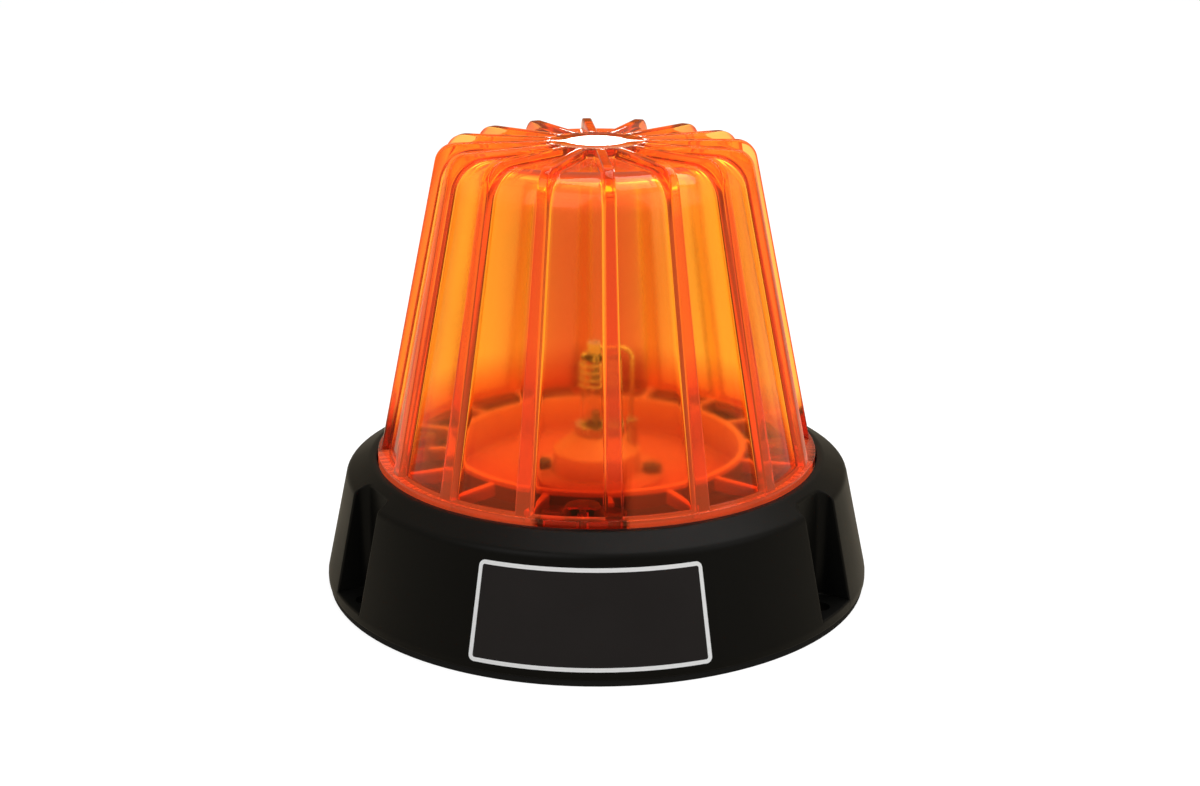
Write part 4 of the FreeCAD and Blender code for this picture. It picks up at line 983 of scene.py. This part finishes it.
def lens_mesh():
    """The sheet, with pads and bosses joined to it inside the foot and bored for the screws. It keeps the
    resin's depth and glow at each point."""
    back = -boss_circle - boss_r
    front = -boss_circle + boss_r
    pad_outline = np.array([
        [-pad_half, back], [pad_half, back], [pad_half, front - pad_corner], [pad_half - pad_corner, front],
        [pad_corner - pad_half, front], [-pad_half, front - pad_corner]])
    turn = np.linspace(0, 2 * np.pi, boss_sides, endpoint=False)
    boss_middle = np.array([0, -boss_circle])
    boss_outline = boss_middle + boss_r * np.stack([np.cos(turn), np.sin(turn)], axis=1)
    mesh = make_mesh("lens", *lens_sheet(), sharp=lens_crisp_angle)
    for outline, high in ((pad_outline, pad_high), (boss_outline, boss_high)):
        points, faces = raised_block(outline, boss_middle, boss_low, high, block_edge)
        blocks = joined_mesh("blocks", [(turned_points(points, angle), faces) for angle in boss_angles])
        mesh = combined(mesh, blocks, "UNION", sharp=lens_crisp_angle)
    mesh = bored(mesh, ring_places(boss_circle, boss_angles), screw_hole_r, boss_low - bore_past,
                 screw_hole_z, sharp=lens_crisp_angle)
    points = mesh_points(mesh)
    add_values(mesh, "resin_depth_and_shade", resin_depth_and_shade(points))
    add_values(mesh, "painted_glow", painted_glow(points))
    add_values(mesh, "painted_corner_glow", painted_corner_glow(points))
    add_values(mesh, "painted_foot_shade", painted_foot_shade(points))
    return mesh


def amber_finish():
    """Clear resin that takes up green and blue light the deeper it goes, so thick edges show red. A rib
    gathers light from a long way through the resin, so its outer face is deeper in colour than a panel's.
    The wall is painted a deeper red near the foot and in front of each boss, as painted shade. The outer
    faces give off painted glow as emission, and the inner ones the corner's painted glow; the roof is
    polished."""
    material, tree, shader = new_finish("amber_lens", {
        "IOR": 1.5, "Transmission Weight": 1.0, "Specular Tint": (1.0, 0.5, 0.3, 1.0),
        "Emission Strength": 1.0})
    grain = add_grain(tree, 700.0, 22.0)
    inner_face = tree.nodes.new("ShaderNodeNewGeometry").outputs["Backfacing"]
    outer_face = add_math(tree, "SUBTRACT", 1.0, inner_face)
    panel = blend_colours(tree, grain.outputs["Broad"], (0.95, 0.77, 0.46), (0.95, 0.82, 0.53))
    # Painted shade: the wall deepens to red near the foot
    wall = blend_colours(tree, read_values(tree, "painted_foot_shade"), panel, (0.8, 0.14, 0.04))
    # Resin depth on the ribs and bosses, and painted shade on the wall and rim in front of each boss
    depth = add_math(tree, "MULTIPLY", read_values(tree, "resin_depth_and_shade"),
                     add_math(tree, "MULTIPLY_ADD", inner_face, inner_depth - 1.0, 1.0))
    tree.links.new(blend_colours(tree, depth, wall, (0.36, 0.05, 0.04)), shader.inputs["Base Color"])
    # Painted glow as emission: the outer faces' own, and the corner's on the inner faces
    outer_glow = add_math(tree, "MULTIPLY", read_values(tree, "painted_glow"), outer_face)
    glow = add_math(tree, "MULTIPLY_ADD", read_values(tree, "painted_corner_glow"), inner_face, outer_glow)
    tree.links.new(blend_colours(tree, glow, (0.0, 0.0, 0.0), (0.5, 0.065, 0.02)),
                   shader.inputs["Emission Color"])
    place = tree.nodes.new("ShaderNodeTexCoord")
    split = tree.nodes.new("ShaderNodeSeparateXYZ")
    tree.links.new(place.outputs["Object"], split.inputs["Vector"])
    polish = spread_values(tree, split.outputs["Z"], 1.0, polish_share, polish_low_z * 0.001,
                           polish_high_z * 0.001)
    haze = spread_values(tree, grain.outputs["Broad"], 0.08, 0.13)
    tree.links.new(add_math(tree, "MULTIPLY", haze, polish), shader.inputs["Roughness"])
    resin = tree.nodes.new("ShaderNodeVolumeAbsorption")
    resin.inputs["Color"].default_value = (0.985, 0.75, 0.08, 1.0)
    resin.inputs["Density"].default_value = 430.0
    tree.links.new(resin.outputs["Volume"], tree.nodes["Material Output"].inputs["Volume"])
    return material


ribbed_lens = make_piece("ribbed_lens", lens_mesh(), amber_finish(), "lens", "amber_lens", "lens")
ribbed_lens.visible_shadow = False

# Camera: it stands at the photograph's angle, a little to the right of the front and 17.6 degrees up. It
# aims a little below the beacon's middle, through a lens of 56 mm on a sensor 36 mm wide. From here on,
# places and sizes in the scene are in metres.
view_target = Vector((0.0, 0.0, 0.05542))
view_distance = 0.55
view_turn = np.radians(2.2)
view_rise = np.radians(17.588)
eye = view_target + view_distance * Vector((
    np.cos(view_rise) * np.sin(view_turn), -np.cos(view_rise) * np.cos(view_turn), np.sin(view_rise)))
camera = bpy.data.objects.new("camera", bpy.data.cameras.new("camera"))
bpy.context.scene.collection.objects.link(camera)
camera.location = eye
camera.rotation_euler = (view_target - eye).to_track_quat("-Z", "Y").to_euler()
camera.data.sensor_width = 36.0
camera.data.lens = 56.325
camera.data.shift_x = 0.00275
camera.data.clip_start = 0.01
bpy.context.scene.camera = camera
bpy.context.scene.view_settings.view_transform = "Standard"

# Studio: a pale paper floor runs out of sight under a white sky. Two cards stand behind the beacon: a warm
# one that shows only through the lens and puts painted shade into its middle, and an orange one that only
# reflections show.
floor_half = 6.0
floor_back = 8.0
floor_light = 0.84
gloss_light = 0.35
soft_light = 0.45
card_half = 0.06
card_back = 0.1
card_low = 0.001
card_high = 0.28
card_shift = 0.006
card_full = 0.008
card_end = 0.05
card_strength = 0.95
roof_card_half = 0.25
roof_card_back = 1.6
roof_card_low = 0.3
roof_card_high = 0.6


def add_sheet(name, corners, material):
    """A flat piece of the studio."""
    mesh = bpy.data.meshes.new(name)
    mesh.from_pydata(corners, [], [(0, 1, 2, 3)])
    mesh.materials.append(material)
    sheet = bpy.data.objects.new(name, mesh)
    bpy.context.scene.collection.objects.link(sheet)
    return sheet


def upright_corners(half, back, low, high):
    """Corners of an upright sheet that stands across, behind the beacon."""
    return [(-half, back, low), (half, back, low), (half, back, high), (-half, back, high)]


def hide_from(sheet, *sights):
    """Keeps a sheet out of some kinds of sight."""
    for sight in sights:
        setattr(sheet, sight, False)


def seen_light(tree, in_gloss, in_soft):
    """Strength and colour of a white background: 1 and white for rays that the camera sends straight or
    through glass, less and warmer off shiny surfaces, and less for soft light."""
    path = tree.nodes.new("ShaderNodeLightPath")
    clear = add_math(tree, "MAXIMUM", path.outputs["Is Camera Ray"], path.outputs["Is Transmission Ray"])
    shiny = add_math(tree, "MULTIPLY_ADD", path.outputs["Is Glossy Ray"], in_gloss, clear)
    strength = add_math(tree, "MULTIPLY_ADD", path.outputs["Is Diffuse Ray"], in_soft, shiny)
    return strength, blend_colours(tree, path.outputs["Is Glossy Ray"], (1.0, 1.0, 1.0), (1.0, 0.84, 0.6))


floor_paper, floor_tree, floor_shader = new_finish("floor_paper", {
    "Roughness": 0.9, "Specular IOR Level": 0.0})
floor_strength, floor_colour = seen_light(floor_tree, gloss_light, 0.0)
floor_glow = add_math(floor_tree, "MULTIPLY", floor_strength, floor_light)
floor_tree.links.new(floor_glow, floor_shader.inputs["Emission Strength"])
floor_tree.links.new(floor_colour, floor_shader.inputs["Emission Color"])
floor_path = floor_tree.nodes.new("ShaderNodeLightPath")
floor_tone = blend_colours(floor_tree, floor_path.outputs["Is Glossy Ray"],
                           (0.3, 0.3, 0.3), (0.28, 0.26, 0.21))
floor_tree.links.new(floor_tone, floor_shader.inputs["Base Color"])
add_sheet("floor", [(-floor_half, -floor_half, 0), (floor_half, -floor_half, 0),
                    (floor_half, floor_back, 0), (-floor_half, floor_back, 0)], floor_paper)

# The warm card is painted shade: seen only through the lens, it darkens the lens's middle
lens_shade_card = bpy.data.materials.new("lens_shade_card")
lens_shade_card.use_nodes = True
card_tree = lens_shade_card.node_tree
card_tree.nodes.remove(card_tree.nodes["Principled BSDF"])
card_glow = card_tree.nodes.new("ShaderNodeEmission")
card_glow.inputs["Color"].default_value = (0.86, 0.22, 0.42, 1.0)
card_clear = card_tree.nodes.new("ShaderNodeBsdfTransparent")
card_mix = card_tree.nodes.new("ShaderNodeMixShader")
card_place = card_tree.nodes.new("ShaderNodeTexCoord")
card_split = card_tree.nodes.new("ShaderNodeSeparateXYZ")
card_tree.links.new(card_place.outputs["Object"], card_split.inputs["Vector"])
card_across = add_math(card_tree, "ADD", card_split.outputs["X"], card_shift)
card_off = add_math(card_tree, "ABSOLUTE", card_across)
card_share = spread_values(card_tree, card_off, card_strength, 0.0, card_full, card_end, "SMOOTHSTEP")
card_tree.links.new(card_share, card_mix.inputs["Fac"])
card_tree.links.new(card_clear.outputs["BSDF"], card_mix.inputs[1])
card_tree.links.new(card_glow.outputs["Emission"], card_mix.inputs[2])
card_tree.links.new(card_mix.outputs["Shader"], card_tree.nodes["Material Output"].inputs["Surface"])
card = add_sheet("lens_shade_card", upright_corners(card_half, card_back, card_low, card_high), lens_shade_card)
hide_from(card, "visible_camera", "visible_diffuse", "visible_glossy", "visible_shadow")

orange_card = new_finish("roof_card", {
    "Base Color": (0.0, 0.0, 0.0, 1.0), "Specular IOR Level": 0.0,
    "Emission Color": (0.45, 0.12, 0.02, 1.0), "Emission Strength": 1.0})[0]
roof_card_corners = upright_corners(roof_card_half, roof_card_back, roof_card_low, roof_card_high)
roof_card = add_sheet("roof_card", roof_card_corners, orange_card)
hide_from(roof_card, "visible_camera", "visible_diffuse", "visible_transmission", "visible_shadow")

world = bpy.data.worlds.new("studio")
bpy.context.scene.world = world
world.use_nodes = True
sky = world.node_tree.nodes["Background"]
sky_strength, sky_colour = seen_light(world.node_tree, gloss_light, soft_light)
world.node_tree.links.new(sky_strength, sky.inputs["Strength"])
world.node_tree.links.new(sky_colour, sky.inputs["Color"])

# Lamps: three soft panels, in front, to the right and above, light the beacon evenly. A small strip stands
# far behind it, where the flat disc on the lens mirrors it to the camera.
lamp_target = (0, 0, 0.06)
strip_reach = 2.5
strip_size = (0.108, 0.02)


def add_panel(name, place, target, size, power):
    """A soft oblong lamp that faces a point."""
    lamp = bpy.data.lights.new(name, "AREA")
    lamp.shape = "RECTANGLE"
    lamp.size, lamp.size_y = size
    lamp.energy = power
    panel = bpy.data.objects.new(name, lamp)
    bpy.context.scene.collection.objects.link(panel)
    panel.location = place
    panel.rotation_euler = (Vector(target) - Vector(place)).to_track_quat("-Z", "Y").to_euler()


add_panel("front_lamp", (-0.55, -0.9, 0.95), lamp_target, (1.0, 1.0), 5.5)
add_panel("side_lamp", (0.9, -0.5, 0.7), lamp_target, (0.9, 0.9), 3.0)
add_panel("top_lamp", (0.25, 0.25, 1.2), lamp_target, (1.0, 1.0), 9.0)
disc_middle = Vector((0, 0, lens_top_z * 0.001))
mirrored_eye = Vector((eye.x, eye.y, 2 * disc_middle.z - eye.z))
strip_place = disc_middle + strip_reach * (disc_middle - mirrored_eye)
add_panel("strip_lamp", strip_place, disc_middle, strip_size, 0.045)

bpy.context.view_layer.update()
